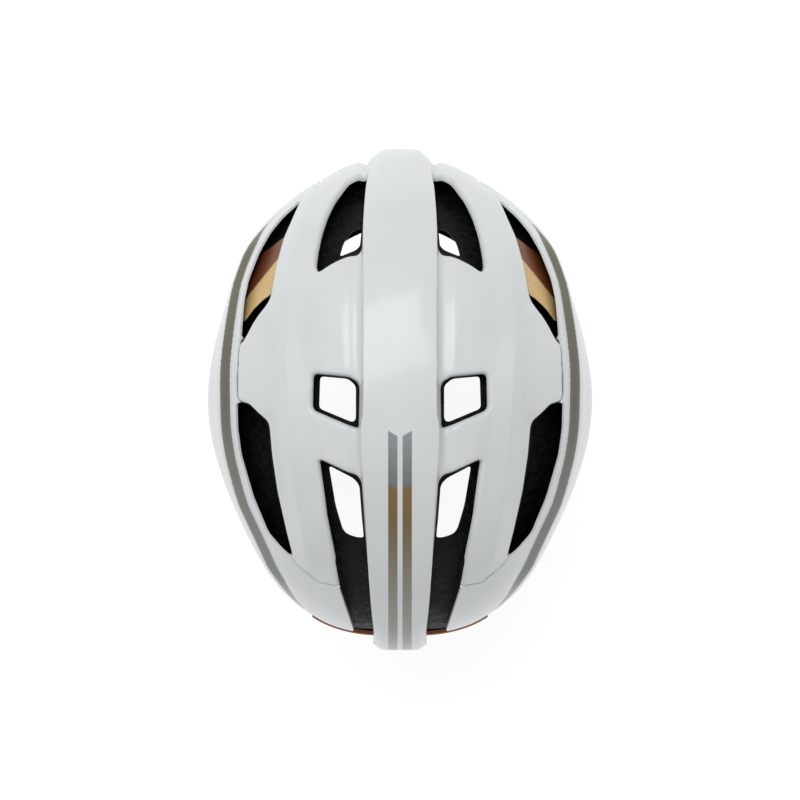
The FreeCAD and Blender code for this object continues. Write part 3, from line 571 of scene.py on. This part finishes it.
def trim_top(q):
    return dome(q) + (TRIM_PROUD - lip(distance(q, trim_loop), TRIM_ROLL))[:, None] * skin_normal(q)


def trim_under(q):
    return dome(q) - TRIM_SUNK * skin_normal(q)


flat, faces = net(trim_loop, [], 2.6, (0.4, 0.9, 1.7))
rear_trim = slab("rear_trim_band", flat, faces, trim_top, trim_under, 40)


# ---------------- gold vent inserts
def height_over(p, deep):
    """Height of the dome shrunk by deep, over points seen from above."""
    share = np.hypot(p[:, 0], p[:, 1]) / (reach(direction(p)) * (1 - deep / HALF_WIDTH))
    left = np.clip(1 - share ** (2 * DOME_PLAN_POWER), 0, 1)
    return WIDEST + (CROWN - WIDEST - deep) * left ** (1 / DOME_RISE_POWER)


insert_loop = fine(rounded(INSERT, 2), 1.2)
split = fine([(69.4, -78.4), (88.8, -54.8)], 1.2, closed=False)
FOLD_WAY = np.array([0.772, -0.636])  # across the fold, towards the facet painted with a dark reflection
FOLD_SUNK, CORNER_SUNK, INSERT_ROLL, INSERT_THICK = (3.8, 3.4), 4.2, 0.8, 2.2


def facet(p, corner):
    """Height of the flat facet through the fold line and one more point under the shell."""
    three = np.array([split[0], split[-1], corner])
    heights = height_over(three, np.array([*FOLD_SUNK, CORNER_SUNK]))
    plane = np.linalg.solve(np.column_stack([three, np.ones(3)]), heights)
    return np.column_stack([p, np.ones(len(p))]) @ plane


def insert_top(p):
    turned = ease((p - split[0]) @ FOLD_WAY, -0.5, 0.5)
    z = facet(p, (76, -85)) * turned + facet(p, (80, -51)) * (1 - turned)
    return np.column_stack([p, z - lip(distance(p, insert_loop), INSERT_ROLL)])


def insert_under(p):
    return insert_top(p) - [0, 0, INSERT_THICK]


flat, faces = net(insert_loop, [], 1.8, (0.4, 0.9), [split])
insert_left = slab("vent_insert_panel_left", flat, faces, insert_top, insert_under, 30)
# which side of the fold each point lies on; the material paints a dark reflection on the far side
per_point(insert_left, "fold", (flat - split[0]) @ FOLD_WAY)
insert_right = reverse(insert_left)


# ---------------- foam liner
POCKETS = (("front", 11, 30), ("middle", 11, 30), ("rear", 11, 16), ("temple", 14, 24), ("flank", 14, 24))


def foam_top(q):
    """Under the skins, with vertical pockets at the vents and a sloping channel at the rear."""
    p = dome(q)
    n = skin_normal(q)
    sunk = np.minimum(relief(q), 0) * (depth_in(q, spine_loop) < 0) + np.minimum(ledge(q), 0)
    out = p + (sunk - FOAM_GAP)[:, None] * n
    for word, deep, most in POCKETS:
        for loop in both_vents[word]:
            share = ease(depth_in(q, loop), -0.1, 0.9)[:, None]
            drop = np.clip(p[:, 2] - height_over(p[:, :2], deep), 0, most)
            floor = p - drop[:, None] * [0, 0, 1]
            if word == "rear":
                turned = ease(p[:, 1], 66, 96)[:, None]
                shallow = (7.5 - 5 * ease(p[:, 1], 100, 129))[:, None]
                floor = floor * (1 - turned) + (p - shallow * n) * turned
            out = out * (1 - share) + floor * share
    return out


around = np.linspace(0, 2 * np.pi, 320, endpoint=False)
foam_rim = rim_line(around, 0.6)
foam_holes = [unroll(loop) for loop in holes]
vent_lines = [np.vstack([loop, loop[:1]]) for pair in both_vents.values() for loop in pair]
foam_flat, foam_faces = net(foam_rim, foam_holes, 3.2, (0.35, 0.8), vent_lines)
outer = foam_top(foam_flat)
hole_flat = [well_unroll(loop) for loop in holes]
well_flat, well_faces = net(well_rim(around), hole_flat, 4.0, (1.2,))
inner = well(well_flat)
ARM_CHANNEL = 2.8  # recess that clears the height arm at the back
in_channel = (1 - ease(np.abs(inner[:, 0]), 8.8, 12.5)) * ease(inner[:, 1], 60, 70)
inner[:, 1] += ARM_CHANNEL * in_channel * (1 - ease(inner[:, 2], 49, 53))
points = [*outer, *inner]
base = len(outer)
solid = [tuple(f) for f in foam_faces] + [(c + base, b + base, a + base) for a, b, c in well_faces]


def indices(flat_points, wanted):
    """The number of the net's point at each wanted place."""
    tree = kdtree.KDTree(len(flat_points))
    for number, (x, y) in enumerate(flat_points):
        tree.insert((x, y, 0), number)
    tree.balance()
    return [tree.find((x, y, 0))[1] for x, y in wanted]


def join_loops(first, second, path):
    """Walls between two loops with the same number of points, through shares of the way."""
    rows = [first]
    start, end = np.array([points[i] for i in first]), np.array([points[i] for i in second])
    for share, sink in path:
        row = start * (1 - share) + end * share - [0, 0, sink]
        rows.append(list(range(len(points), len(points) + len(row))))
        points.extend(row)
    rows.append(second)
    for a, b in zip(rows, rows[1:]):
        count = len(a)
        for k in range(count):
            m = (k + 1) % count
            solid.append((a[m], a[k], b[k], b[m]))


join_loops(indices(foam_flat, foam_rim), [base + i for i in indices(well_flat, well_rim(around))],
           ((0.03, 0.9), (0.1, 1.9), (0.25, 2.3), (0.5, 2.3), (0.75, 2.3), (0.9, 1.9), (0.97, 0.9)))
for outer_loop, inner_loop in zip(foam_holes, hole_flat):
    join_loops(indices(foam_flat, outer_loop)[::-1],
               [base + i for i in indices(well_flat, inner_loop)][::-1],
               ((0.03, 0.3), (0.3, 0), (0.6, 0), (0.9, 0)))
foam = mesh_object("foam_liner_body", points, solid, 38)


# ---------------- soft pieces
scene = bpy.context.scene
CLOTH_FRAMES, PRESSURE, STIFFNESS, CLOTH_MASS, STITCH = 20, 4, 15, 0.2, 0.9


def finished(piece):
    """The piece's shape with its modifiers, as a new mesh."""
    graph = bpy.context.evaluated_depsgraph_get()
    mesh = bpy.data.meshes.new_from_object(piece.evaluated_get(graph), depsgraph=graph)
    piece.modifiers.clear()
    piece.data = mesh


def cushion(node, name, voxel, cap, grooves):
    """A fabric pad swollen by cloth pressure up to the cap, with sewn channels across it."""
    piece = bpy.data.objects.new(name, frame["nodes"][node].data.copy())
    scene.collection.objects.link(piece)
    piece.data.materials.clear()
    remesh = piece.modifiers.new("even", "REMESH")
    remesh.mode = "VOXEL"
    remesh.voxel_size = voxel * MM
    finished(piece)
    mesh = piece.data
    for _ in range(3):
        bm = bmesh.new()
        bm.from_mesh(mesh)
        bmesh.ops.smooth_vert(bm, verts=bm.verts, factor=0.5,
                              use_axis_x=True, use_axis_y=True, use_axis_z=True)
        bm.to_mesh(mesh)
        bm.free()
    start = np.array([v.co for v in mesh.vertices])
    cloth = piece.modifiers.new("swell", "CLOTH")
    cloth.settings.use_pressure = True
    cloth.settings.uniform_pressure_force = PRESSURE
    cloth.settings.effector_weights.gravity = 0
    cloth.settings.mass = CLOTH_MASS
    cloth.settings.tension_stiffness = cloth.settings.compression_stiffness = STIFFNESS
    cloth.point_cache.frame_start, cloth.point_cache.frame_end = 1, CLOTH_FRAMES
    for number in range(1, CLOTH_FRAMES + 1):
        scene.frame_set(number)
    graph = bpy.context.evaluated_depsgraph_get()
    swollen = piece.evaluated_get(graph).to_mesh()
    moved = np.array([v.co for v in swollen.vertices]) - start
    piece.evaluated_get(graph).to_mesh_clear()
    piece.modifiers.clear()
    scene.frame_set(1)
    length = np.linalg.norm(moved, axis=1)
    moved *= (np.minimum(length, cap * MM) / np.maximum(length, 1e-9))[:, None]
    start = start + moved
    centre = start.mean(0)
    axis, pitch, deep = grooves
    offset = (start[:, axis] - centre[axis]) / MM
    nearest = np.abs((offset + pitch / 2) % pitch - pitch / 2)
    pull = deep * np.exp(-(nearest / STITCH) ** 2)
    normal = np.array([v.normal for v in mesh.vertices])
    start = start - normal * (pull * MM)[:, None]
    mesh.vertices.foreach_set("co", start.ravel())
    mesh.update()
    subdivide = piece.modifiers.new("finer", "SUBSURF")
    subdivide.levels = subdivide.render_levels = 1
    finished(piece)
    piece.data.shade_smooth()
    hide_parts(node)
    return piece


pads = [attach(cushion(node, name, 1.5, 1.1, grooves), "helmet")
        for node, name, grooves in (
            ("front_pad", "brow_cushion", (0, 16, 0.9)), ("crown_pad", "crown_cushion", (1, 18, 0.9)),
            ("side_pad_left", "side_cushion_left", (1, 16, 0.9)),
            ("side_pad_right", "side_cushion_right", (1, 16, 0.9)))]
pads += [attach(cushion(node, name, 1.2, 0.6, (2, 9, 0.5)), "cradle")
         for node, name in (("cradle_pad_left", "nape_cushion_left"),
                            ("cradle_pad_right", "nape_cushion_right"))]


# ---------------- webbing
def from_plane(points, angle, y0, z0):
    """Points of a plane leaning forward by the angle at (y0, z0), in the helmet's frame."""
    p = np.array(points, float).reshape(-1, 3)
    y, z = p[:, 1], p[:, 2]
    return np.column_stack([p[:, 0], y0 + y * math.cos(angle) + z * math.sin(angle),
                            z0 - y * math.sin(angle) + z * math.cos(angle)])


def from_strap(points):
    return from_plane(points, math.radians(29), -8, -28)


def from_fit(points):
    return from_plane(points, math.radians(20), -38, 36)


def run_length(path):
    return np.concatenate([[0], np.cumsum(np.linalg.norm(np.diff(path, axis=0), axis=1))])


def ahead_of(path):
    ahead = np.gradient(path, axis=0)
    return ahead / np.linalg.norm(ahead, axis=1)[:, None]


def tube(name, points, rows, crease):
    """A closed piece from rows of ring points, with its faces turned outwards."""
    count = len(points) // rows
    faces = []
    for a in range(0, (rows - 1) * count, count):
        for k in range(count):
            m = (k + 1) % count
            faces.append((a + k, a + m, a + count + m, a + count + k))
    faces.append(tuple(range(count))[::-1])
    faces.append(tuple(range((rows - 1) * count, rows * count)))
    piece = mesh_object(name, points, faces, crease)
    bm = bmesh.new()
    bm.from_mesh(piece.data)
    bmesh.ops.recalc_face_normals(bm, faces=bm.faces)
    bm.to_mesh(piece.data)
    bm.free()
    return piece


WEB_WIDTH, WEB_THICK, CHIN_THICK, LEG_ROWS = 15.0, 1.5, 1.35, 60
WEB_SIDE = (-1, -0.985, -0.94, -0.85, -0.7, -0.35, 0, 0.35, 0.7, 0.85, 0.94, 0.985, 1)


def webbing(name, path, sides, thick=WEB_THICK):
    """A woven strap along a path: sides give the direction of its width at each point."""
    path, sides = np.array(path, float), np.array(sides, float)
    ahead = ahead_of(path)
    sides = sides - (sides * ahead).sum(1)[:, None] * ahead
    sides /= np.linalg.norm(sides, axis=1)[:, None]
    face = np.cross(sides, ahead)
    section = []
    for v in WEB_SIDE:
        bead = 1 + 0.12 * math.exp(-((abs(v) - 0.9) / 0.07) ** 2)
        section.append((v, (1 - max(0, (abs(v) - 0.93) / 0.07) ** 2 * 0.75) * bead))
    ring = section + [(v, -t) for v, t in section[::-1]]
    points, runs, places = [], [], []
    for place, side, out, run in zip(path, sides, face, run_length(path)):
        for v, t in ring:
            points.append(place + side * v * WEB_WIDTH / 2 + out * t * thick / 2)
            runs.append(run * MM)
            places.append(v * WEB_WIDTH / 2 * MM)
    piece = tube(name, points, len(path), 50)
    per_point(piece, "run", runs)
    per_point(piece, "across", places)
    return piece


def leg(name, top, bottom, side, bow):
    """A strap leg, slightly bowed outwards, from its anchor to the crossing."""
    top, bottom = np.array(top, float), np.array(bottom, float)
    along = np.linspace(0, 1, LEG_ROWS)[:, None]
    out = np.array([side, 0, 0])
    path = top + (bottom - top) * along + out * bow * np.sin(np.pi * along)
    flat_side = np.cross(bottom - top, [1.0, 0, 0])
    return webbing(name, path, np.tile(flat_side, (LEG_ROWS, 1)))


STRAP_X, STRAP_FLAT, STRAP_STRAIGHT, STRAP_DROP = 73, 44, 42, 92
LEFT_END, RIGHT_END, FOLD_RADIUS = 15.4, 15.2, 2.05
FRONT_ANCHOR, REAR_ANCHOR, FRONT_BOW, REAR_BOW = [82, -48, 25.5], [78.4, 62, 13.5], 0.6, 3.0


def chin_path(end):
    """Down from the crossing, round under the chin and level to the buckle."""
    down = [(STRAP_X, 0, -z) for z in np.linspace(0, STRAP_STRAIGHT, 24)]
    turn = [(STRAP_FLAT + (STRAP_X - STRAP_FLAT) * math.cos(a), 0,
             -STRAP_STRAIGHT - (STRAP_DROP - STRAP_STRAIGHT) * math.sin(a))
            for a in np.radians(np.linspace(0, 90, 40))[1:]]
    level = [(x, 0, -STRAP_DROP) for x in np.linspace(STRAP_FLAT, end, 18)[1:]]
    return down + turn + level


straps = []
crossing_outer = from_strap([(STRAP_X + 0.9, 0, 7.1)])[0]
crossing_inner = from_strap([(STRAP_X - 0.9, 0, 3.9)])[0]
for sign, word in ((1, "left"), (-1, "right")):
    flip = np.array([sign, 1, 1])
    straps.append(leg(f"front_webbing_{word}", FRONT_ANCHOR * flip, crossing_outer * flip, sign, FRONT_BOW))
    straps.append(leg(f"rear_webbing_{word}", REAR_ANCHOR * flip, crossing_inner * flip, sign, REAR_BOW))
    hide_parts(f"front_strap_{word}")
    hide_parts(f"rear_strap_{word}")
width_way = from_strap([(0, 1, 0)])[0] - from_strap([(0, 0, 0)])[0]
fold = [(LEFT_END - 1.0 * math.sin(a), 0, -STRAP_DROP - FOLD_RADIUS + FOLD_RADIUS * math.cos(a))
        for a in np.radians(np.linspace(0, 180, 14))[1:]]
tail_back = [(x, 0, -STRAP_DROP - 2 * FOLD_RADIUS - 0.5 * math.sin((x - 15) / 30 * math.pi))
             for x in np.linspace(16, 45, 24)]
chin_left = from_strap(chin_path(LEFT_END) + fold + tail_back)
straps.append(webbing("chin_webbing_left", chin_left, np.tile(width_way, (len(chin_left), 1)), CHIN_THICK))
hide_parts("chin_strap_left")
for strap in straps:
    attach(strap, "helmet")
chin_right = from_strap(chin_path(RIGHT_END)) * [-1, 1, 1]
right_strap = webbing("chin_webbing_right", chin_right, np.tile(width_way, (len(chin_right), 1)), CHIN_THICK)
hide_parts("chin_strap_right")
straps.append(right_strap)


# ---------------- side bands of the fit system
BAND_HALF = 6
BAND_RING = [(-1, 0.5), (-0.93, 0.8), (-0.8, 0.8), (-0.72, 0.45), (0, 0.45), (0.72, 0.45), (0.8, 0.8),
             (0.93, 0.8), (1, 0.5), (1, -0.4), (0.9, -0.75), (0, -0.75), (-0.9, -0.75), (-1, -0.4)]


def side_band():
    """A ribbed plastic band from the temple pin back to the dial's rack, left side."""
    line = [(73.9, y, 0) for y in np.linspace(-7, 4, 9)]
    line += [(78.2 * math.sqrt(1 - ((y - 41) / 106.2) ** 2), y, 0) for y in np.linspace(9, 121, 60)]
    line += [(50 + (30 - 50) * t, 122.8 + (148.2 - 122.8) * t, 0) for t in np.linspace(0.04, 1, 16)]
    path = np.array(line)
    ahead = ahead_of(path)
    out = np.column_stack([ahead[:, 1], -ahead[:, 0], np.zeros(len(path))])
    points = []
    for place, side, length in zip(path, out, run_length(path)):
        rounding = math.sqrt(max(0, 1 - (1 - min(length, BAND_HALF) / BAND_HALF) ** 2))
        tall = BAND_HALF * min(1, 0.55 + rounding * 0.45)
        for up, thick in BAND_RING:
            points.append(place + side * thick + np.array([0, 0, up * tall]))
    return tube("side_band_strip_left", from_fit(points), len(path), 40)


band_left = side_band()
band_right = reverse(band_left)


# ---------------- materials
def new_finish(name, roughness, metallic=0.0, **sockets):
    material = bpy.data.materials.new(name)
    material.use_nodes = True
    shader = material.node_tree.nodes["Principled BSDF"]
    shader.inputs["Roughness"].default_value = roughness
    shader.inputs["Metallic"].default_value = metallic
    for socket, value in sockets.items():
        shader.inputs[socket.replace("_", " ")].default_value = value
    return material, material.node_tree, shader


def node(tree, kind, inputs=None, **settings):
    made = tree.nodes.new(kind)
    for key, value in settings.items():
        setattr(made, key, value)
    for key, value in (inputs or {}).items():
        if isinstance(value, bpy.types.NodeSocket):
            tree.links.new(value, made.inputs[key])
        else:
            made.inputs[key].default_value = value
    return made


def math_node(tree, operation, *values):
    return node(tree, "ShaderNodeMath", dict(enumerate(values)), operation=operation).outputs[0]


def blended(tree, share, first, second):
    """A colour mix: the node's sockets 0, 6 and 7 are its share and its two colours."""
    return node(tree, "ShaderNodeMix", {0: share, 6: first, 7: second}, data_type="RGBA").outputs[2]


def ranged(tree, value, low, high, to_low=0.0, to_high=1.0):
    return node(tree, "ShaderNodeMapRange", {"Value": value, "From Min": low, "From Max": high,
                                             "To Min": to_low, "To Max": to_high}).outputs[0]


def place_in(tree):
    return node(tree, "ShaderNodeTexCoord").outputs["Object"]


def noise(tree, scale, detail=3.0, vector=None):
    inputs = {"Vector": vector or place_in(tree), "Scale": scale, "Detail": detail}
    return node(tree, "ShaderNodeTexNoise", inputs).outputs["Fac"]


def voronoi(tree, scale, **settings):
    return node(tree, "ShaderNodeTexVoronoi", {"Vector": place_in(tree), "Scale": scale}, **settings)


def bumped(tree, shader, height, strength, reach_mm):
    made = node(tree, "ShaderNodeBump", {"Height": height, "Strength": strength, "Distance": reach_mm * MM})
    tree.links.new(made.outputs[0], shader.inputs["Normal"])


def attribute(tree, name):
    return node(tree, "ShaderNodeAttribute", attribute_name=name).outputs["Fac"]


def tint(r, g, b):
    """A display colour, 0 to 255, as linear light."""
    return [((c / 255 + 0.055) / 1.055) ** 2.4 if c > 10 else c / 255 / 12.92 for c in (r, g, b)] + [1.0]


WHITE = (219, 223, 224)


def white_paint(name):
    """Glossy painted shell: faint orange peel, uneven tone and rubbed edges."""
    material, tree, shader = new_finish(name, 0.32, Specular_IOR_Level=0.35, Coat_Weight=0.22,
                                        Coat_Roughness=0.07)
    soft = ranged(tree, noise(tree, 18, 4), 0.35, 0.7)
    base = blended(tree, soft, tint(*[c - 3 for c in WHITE]), tint(*[c + 2 for c in WHITE]))
    worn = math_node(tree, "MULTIPLY", attribute(tree, "edge"), ranged(tree, noise(tree, 90, 5), 0.45, 0.75))
    base = blended(tree, math_node(tree, "MULTIPLY", worn, 0.35), base, tint(196, 197, 200))
    bumped(tree, shader, noise(tree, 900, 2), 0.04, 0.2)
    return material, tree, shader, base


def ramp(tree, value, stops):
    made = tree.nodes.new("ShaderNodeValToRGB")
    tree.links.new(value, made.inputs[0])
    band = made.color_ramp
    while len(band.elements) < len(stops):
        band.elements.new(0.5)
    for element, (where, colour) in zip(band.elements, stops):
        element.position = where
        element.color = colour
    return made.outputs[0]


def split_place(tree):
    return node(tree, "ShaderNodeSeparateXYZ", {"Vector": place_in(tree)}).outputs


LINE_INNER, LINE_OUTER, LINE_START, LINE_END = 0.0014, 0.0066, 0.017, 0.142  # the spine's lines, metres
CHEVRON = 0.003
upper_paint, tree, shader, base = white_paint("upper_white_paint")
x, y, _ = split_place(tree)
side = math_node(tree, "ABSOLUTE", x)
shifted = math_node(tree, "SUBTRACT", y, ranged(tree, side, LINE_INNER, LINE_OUTER, CHEVRON, 0.0))
mask = math_node(tree, "MULTIPLY", math_node(tree, "GREATER_THAN", side, LINE_INNER),
                 math_node(tree, "LESS_THAN", side, LINE_OUTER))
mask = math_node(tree, "MULTIPLY", mask, math_node(tree, "GREATER_THAN", shifted, LINE_START))
tones = ramp(tree, ranged(tree, shifted, LINE_START, LINE_END),
             [(0.0, tint(146, 151, 153)), (0.235, tint(114, 121, 121)), (0.239, tint(130, 104, 66)),
              (0.38, tint(124, 101, 64)), (0.52, tint(127, 117, 93)), (0.68, tint(142, 142, 131)),
              (1.0, tint(154, 156, 150))])
tree.links.new(blended(tree, mask, base, tones), shader.inputs["Base Color"])

lower_paint, tree, shader, base = white_paint("lower_white_paint")
_, y, _ = split_place(tree)
mask = ranged(tree, attribute(tree, "band"), -0.12, 0.12, 1.0, 0.0)
tones = ramp(tree, ranged(tree, y, -0.115, 0.12),
             [(0.0, tint(102, 95, 74)), (0.25, tint(95, 89, 69)), (0.42, tint(101, 98, 84)),
              (0.55, tint(108, 106, 98)), (0.75, tint(124, 124, 118)), (1.0, tint(138, 139, 134))])
tree.links.new(blended(tree, mask, base, tones), shader.inputs["Base Color"])

bronze, tree, shader = new_finish("bronze_lacquer", 0.34, 0.85, Coat_Weight=0.4, Coat_Roughness=0.1)
cells = voronoi(tree, 2600.0).outputs["Distance"]
base = blended(tree, ranged(tree, cells, 0.1, 0.8), tint(142, 88, 48), tint(112, 70, 38))
tree.links.new(base, shader.inputs["Base Color"])
bumped(tree, shader, noise(tree, 500, 3), 0.05, 0.2)

gold, tree, shader = new_finish("gold_lacquer_painted_reflection", 0.42, 0.15, Specular_IOR_Level=0.25,
                                Coat_Weight=0.06, Coat_Roughness=0.1)
# painted reflection: the facet across the fold, turned forward and down, is painted dark brown as if the
# shiny gold mirrored dark surroundings; the other facet keeps the gold's own warm colour
fold_side = ranged(tree, attribute(tree, "fold"), -0.25, 0.25)
flakes = noise(tree, 700, 4)
warm = blended(tree, ranged(tree, flakes, 0.3, 0.7), tint(222, 190, 132), tint(206, 172, 114))
painted_dark_reflection = blended(tree, ranged(tree, flakes, 0.3, 0.7), tint(126, 72, 42), tint(108, 58, 32))
tree.links.new(blended(tree, fold_side, warm, painted_dark_reflection), shader.inputs["Base Color"])
bumped(tree, shader, flakes, 0.04, 0.2)

eps, tree, shader = new_finish("expanded_foam", 0.75, Specular_IOR_Level=0.2)
BEADS = 330.0
beads = voronoi(tree, BEADS, feature="DISTANCE_TO_EDGE").outputs["Distance"]
tone = node(tree, "ShaderNodeSeparateColor", {"Color": voronoi(tree, BEADS).outputs["Color"]}).outputs[0]
base = blended(tree, tone, tint(10, 9, 9), tint(27, 25, 24))
base = blended(tree, ranged(tree, beads, 0.0, 0.05, 1.0, 0.0), base, tint(9, 9, 10))
tree.links.new(base, shader.inputs["Base Color"])
tree.links.new(ranged(tree, tone, 0, 1, 0.5, 0.8), shader.inputs["Roughness"])
bumped(tree, shader, ranged(tree, beads, 0.0, 0.12), 0.5, 0.5)


def knit(name, dark, light, scale):
    """Brushed knit over foam: fine loops, soft pile and uneven dye."""
    material, tree, shader = new_finish(name, 0.85, Sheen_Weight=0.35)
    loops = math_node(tree, "MULTIPLY", voronoi(tree, scale).outputs["Distance"], 0.7)
    fibre = math_node(tree, "MULTIPLY", noise(tree, scale * 2.5, 4), 0.4)
    shade = math_node(tree, "ADD", loops, fibre)
    base = blended(tree, ranged(tree, shade, 0.2, 0.9), tint(*light), tint(*dark))
    tree.links.new(base, shader.inputs["Base Color"])
    bumped(tree, shader, shade, 0.6, 0.35)
    return material


fabric = knit("pad_knit", (24, 24, 27), (58, 58, 63), 1100.0)
hooks = knit("hook_pile", (30, 30, 30), (70, 70, 72), 1500.0)

TWILL, CORDS = 4200.0, 6300.0  # waves along and across the webbing, per metre
web, tree, shader = new_finish("woven_webbing", 0.72, Sheen_Weight=0.25)
run, over = attribute(tree, "run"), attribute(tree, "across")
slanted = math_node(tree, "ADD", run, math_node(tree, "ABSOLUTE", over))
twill = math_node(tree, "SINE", math_node(tree, "MULTIPLY", slanted, TWILL))
cords = math_node(tree, "SINE", math_node(tree, "MULTIPLY", over, CORDS))
weave = math_node(tree, "MULTIPLY", math_node(tree, "ADD", twill, 1.2), math_node(tree, "ADD", cords, 1.6))
yarn = math_node(tree, "MULTIPLY", noise(tree, 1600, 3), 0.35)
shade = math_node(tree, "ADD", math_node(tree, "MULTIPLY", weave, 0.16), yarn)
tree.links.new(blended(tree, shade, tint(14, 14, 15), tint(52, 52, 56)), shader.inputs["Base Color"])
bumped(tree, shader, weave, 0.5, 0.25)


def moulded(name, dark, light, roughness, scale, strength):
    """Moulded plastic or rubber with a fine spark-eroded grain."""
    material, tree, shader = new_finish(name, roughness)
    grain = noise(tree, scale, 4)
    uneven = ranged(tree, grain, 0.3, 0.7, roughness - 0.08, roughness + 0.1)
    base = blended(tree, noise(tree, 60, 3), tint(*dark), tint(*light))
    tree.links.new(base, shader.inputs["Base Color"])
    tree.links.new(uneven, shader.inputs["Roughness"])
    bumped(tree, shader, grain, strength, 0.2)
    return material


plastic = moulded("black_moulding", (19, 19, 20), (33, 33, 35), 0.42, 1400, 0.22)
rubber = moulded("soft_rubber", (24, 24, 24), (38, 37, 37), 0.68, 900, 0.3)
steel, tree, shader = new_finish("plated_steel", 0.3, 1.0)
stretched = node(tree, "ShaderNodeMapping", {"Vector": place_in(tree), "Scale": (300, 40, 3000)}).outputs[0]
brush = noise(tree, 3.0, 4, stretched)
tree.links.new(blended(tree, brush, tint(150, 150, 152), tint(196, 196, 200)), shader.inputs["Base Color"])
tree.links.new(ranged(tree, brush, 0.3, 0.7, 0.22, 0.42), shader.inputs["Roughness"])

MATERIALS = {"white_shell": upper_paint, "bronze_trim": bronze, "gold_chrome": gold, "black_foam": eps,
             "pad_fabric": fabric, "hook_fabric": hooks, "webbing": web, "black_plastic": plastic,
             "black_rubber": rubber, "steel": steel}
for name, kept in frame["nodes"].items():
    slot = next(part["material_slot"] for part in frame["record"]["subparts"] if part["node"] == name)
    if not kept.material_slots:
        kept.data.materials.append(None)
    for used in kept.material_slots:
        used.link = "OBJECT"
        used.material = MATERIALS[slot]
for piece, material, slot in ((upper_shell, upper_paint, "white_shell"),
                              (lower_left, lower_paint, "white_shell"),
                              (lower_right, lower_paint, "white_shell"), (rear_trim, bronze, "bronze_trim"),
                              (insert_left, gold, "gold_chrome"), (insert_right, gold, "gold_chrome"),
                              (foam, eps, "black_foam"), (band_left, plastic, "black_plastic"),
                              (band_right, plastic, "black_plastic"),
                              *[(pad, fabric, "pad_fabric") for pad in pads],
                              *[(strap, web, "webbing") for strap in straps]):
    piece.data.materials.clear()
    piece.data.materials.append(material)

# ---------------- bodies
for piece, replaced in ((upper_shell, "upper_shell"), (lower_left, "lower_shell_left"),
                        (lower_right, "lower_shell_right"), (rear_trim, "rear_trim"),
                        (insert_left, "vent_insert_left"), (insert_right, "vent_insert_right"),
                        (foam, "foam_liner")):
    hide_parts(replaced)
    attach(piece, "helmet")
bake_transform(right_strap)
for word, band, sign in (("left", band_left, 1), ("right", band_right, -1)):
    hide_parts(f"side_band_{word}")
    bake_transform(band)

# ---------------- floor, light and camera
FLOOR_SIZE, FLOOR_GAP = 12, 0.004
bpy.ops.mesh.primitive_plane_add(size=FLOOR_SIZE, location=(0, 0, cad_box[0][2] - FLOOR_GAP))
floor = bpy.context.object
floor.name = "studio_floor"
floor_finish, tree, shader = new_finish("pale_floor", 0.9)
shader.inputs["Base Color"].default_value = (0.32, 0.32, 0.32, 1)
shader.inputs["Emission Color"].default_value = (1, 1, 1, 1)
shader.inputs["Emission Strength"].default_value = 0.84
floor.data.materials.append(floor_finish)

world = bpy.data.worlds.new("studio")
scene.world = world
world.use_nodes = True
ambient = world.node_tree.nodes["Background"]
ambient.inputs["Color"].default_value = (1, 1, 1, 1)
ambient.inputs["Strength"].default_value = 0.4
backdrop = node(world.node_tree, "ShaderNodeBackground", {"Color": (1, 1, 1, 1), "Strength": 0.94})
seen = node(world.node_tree, "ShaderNodeLightPath").outputs["Is Camera Ray"]
both = node(world.node_tree, "ShaderNodeMixShader", {0: seen, 1: ambient.outputs[0], 2: backdrop.outputs[0]})
world.node_tree.links.new(both.outputs[0], world.node_tree.nodes["World Output"].inputs["Surface"])


def lamp(name, place, power, size, target=(0, 0, 0.08)):
    light = bpy.data.lights.new(name, "AREA")
    light.energy = power
    light.shape = "RECTANGLE"
    light.size, light.size_y = size
    made = bpy.data.objects.new(name, light)
    made.location = place
    made.rotation_euler = (Vector(target) - Vector(place)).to_track_quat("-Z", "Y").to_euler()
    scene.collection.objects.link(made)


lamp("overhead_softbox", (0.3, -1.25, 2.9), 53, (2.2, 1.8))
lamp("left_strip", (1.35, -0.1, 1.5), 1.5, (2.0, 0.25))
lamp("right_strip", (-1.35, -0.1, 1.5), 1.5, (2.0, 0.25))

camera = bpy.data.objects.new("photo_camera", bpy.data.cameras.new("photo_camera"))
scene.collection.objects.link(camera)
DISTANCE, AIM_HEIGHT, SENSOR, PHOTO_WIDTH = 5.0, 0.05, 36, 0.4544  # metres, but the sensor in mm
camera.location = (0, 0, AIM_HEIGHT + DISTANCE)
camera.rotation_euler = (0, 0, math.pi)
camera.data.sensor_width = SENSOR
camera.data.lens = SENSOR * DISTANCE / PHOTO_WIDTH
camera.data.clip_end = 30
scene.camera = camera
scene.view_settings.view_transform = "Standard"
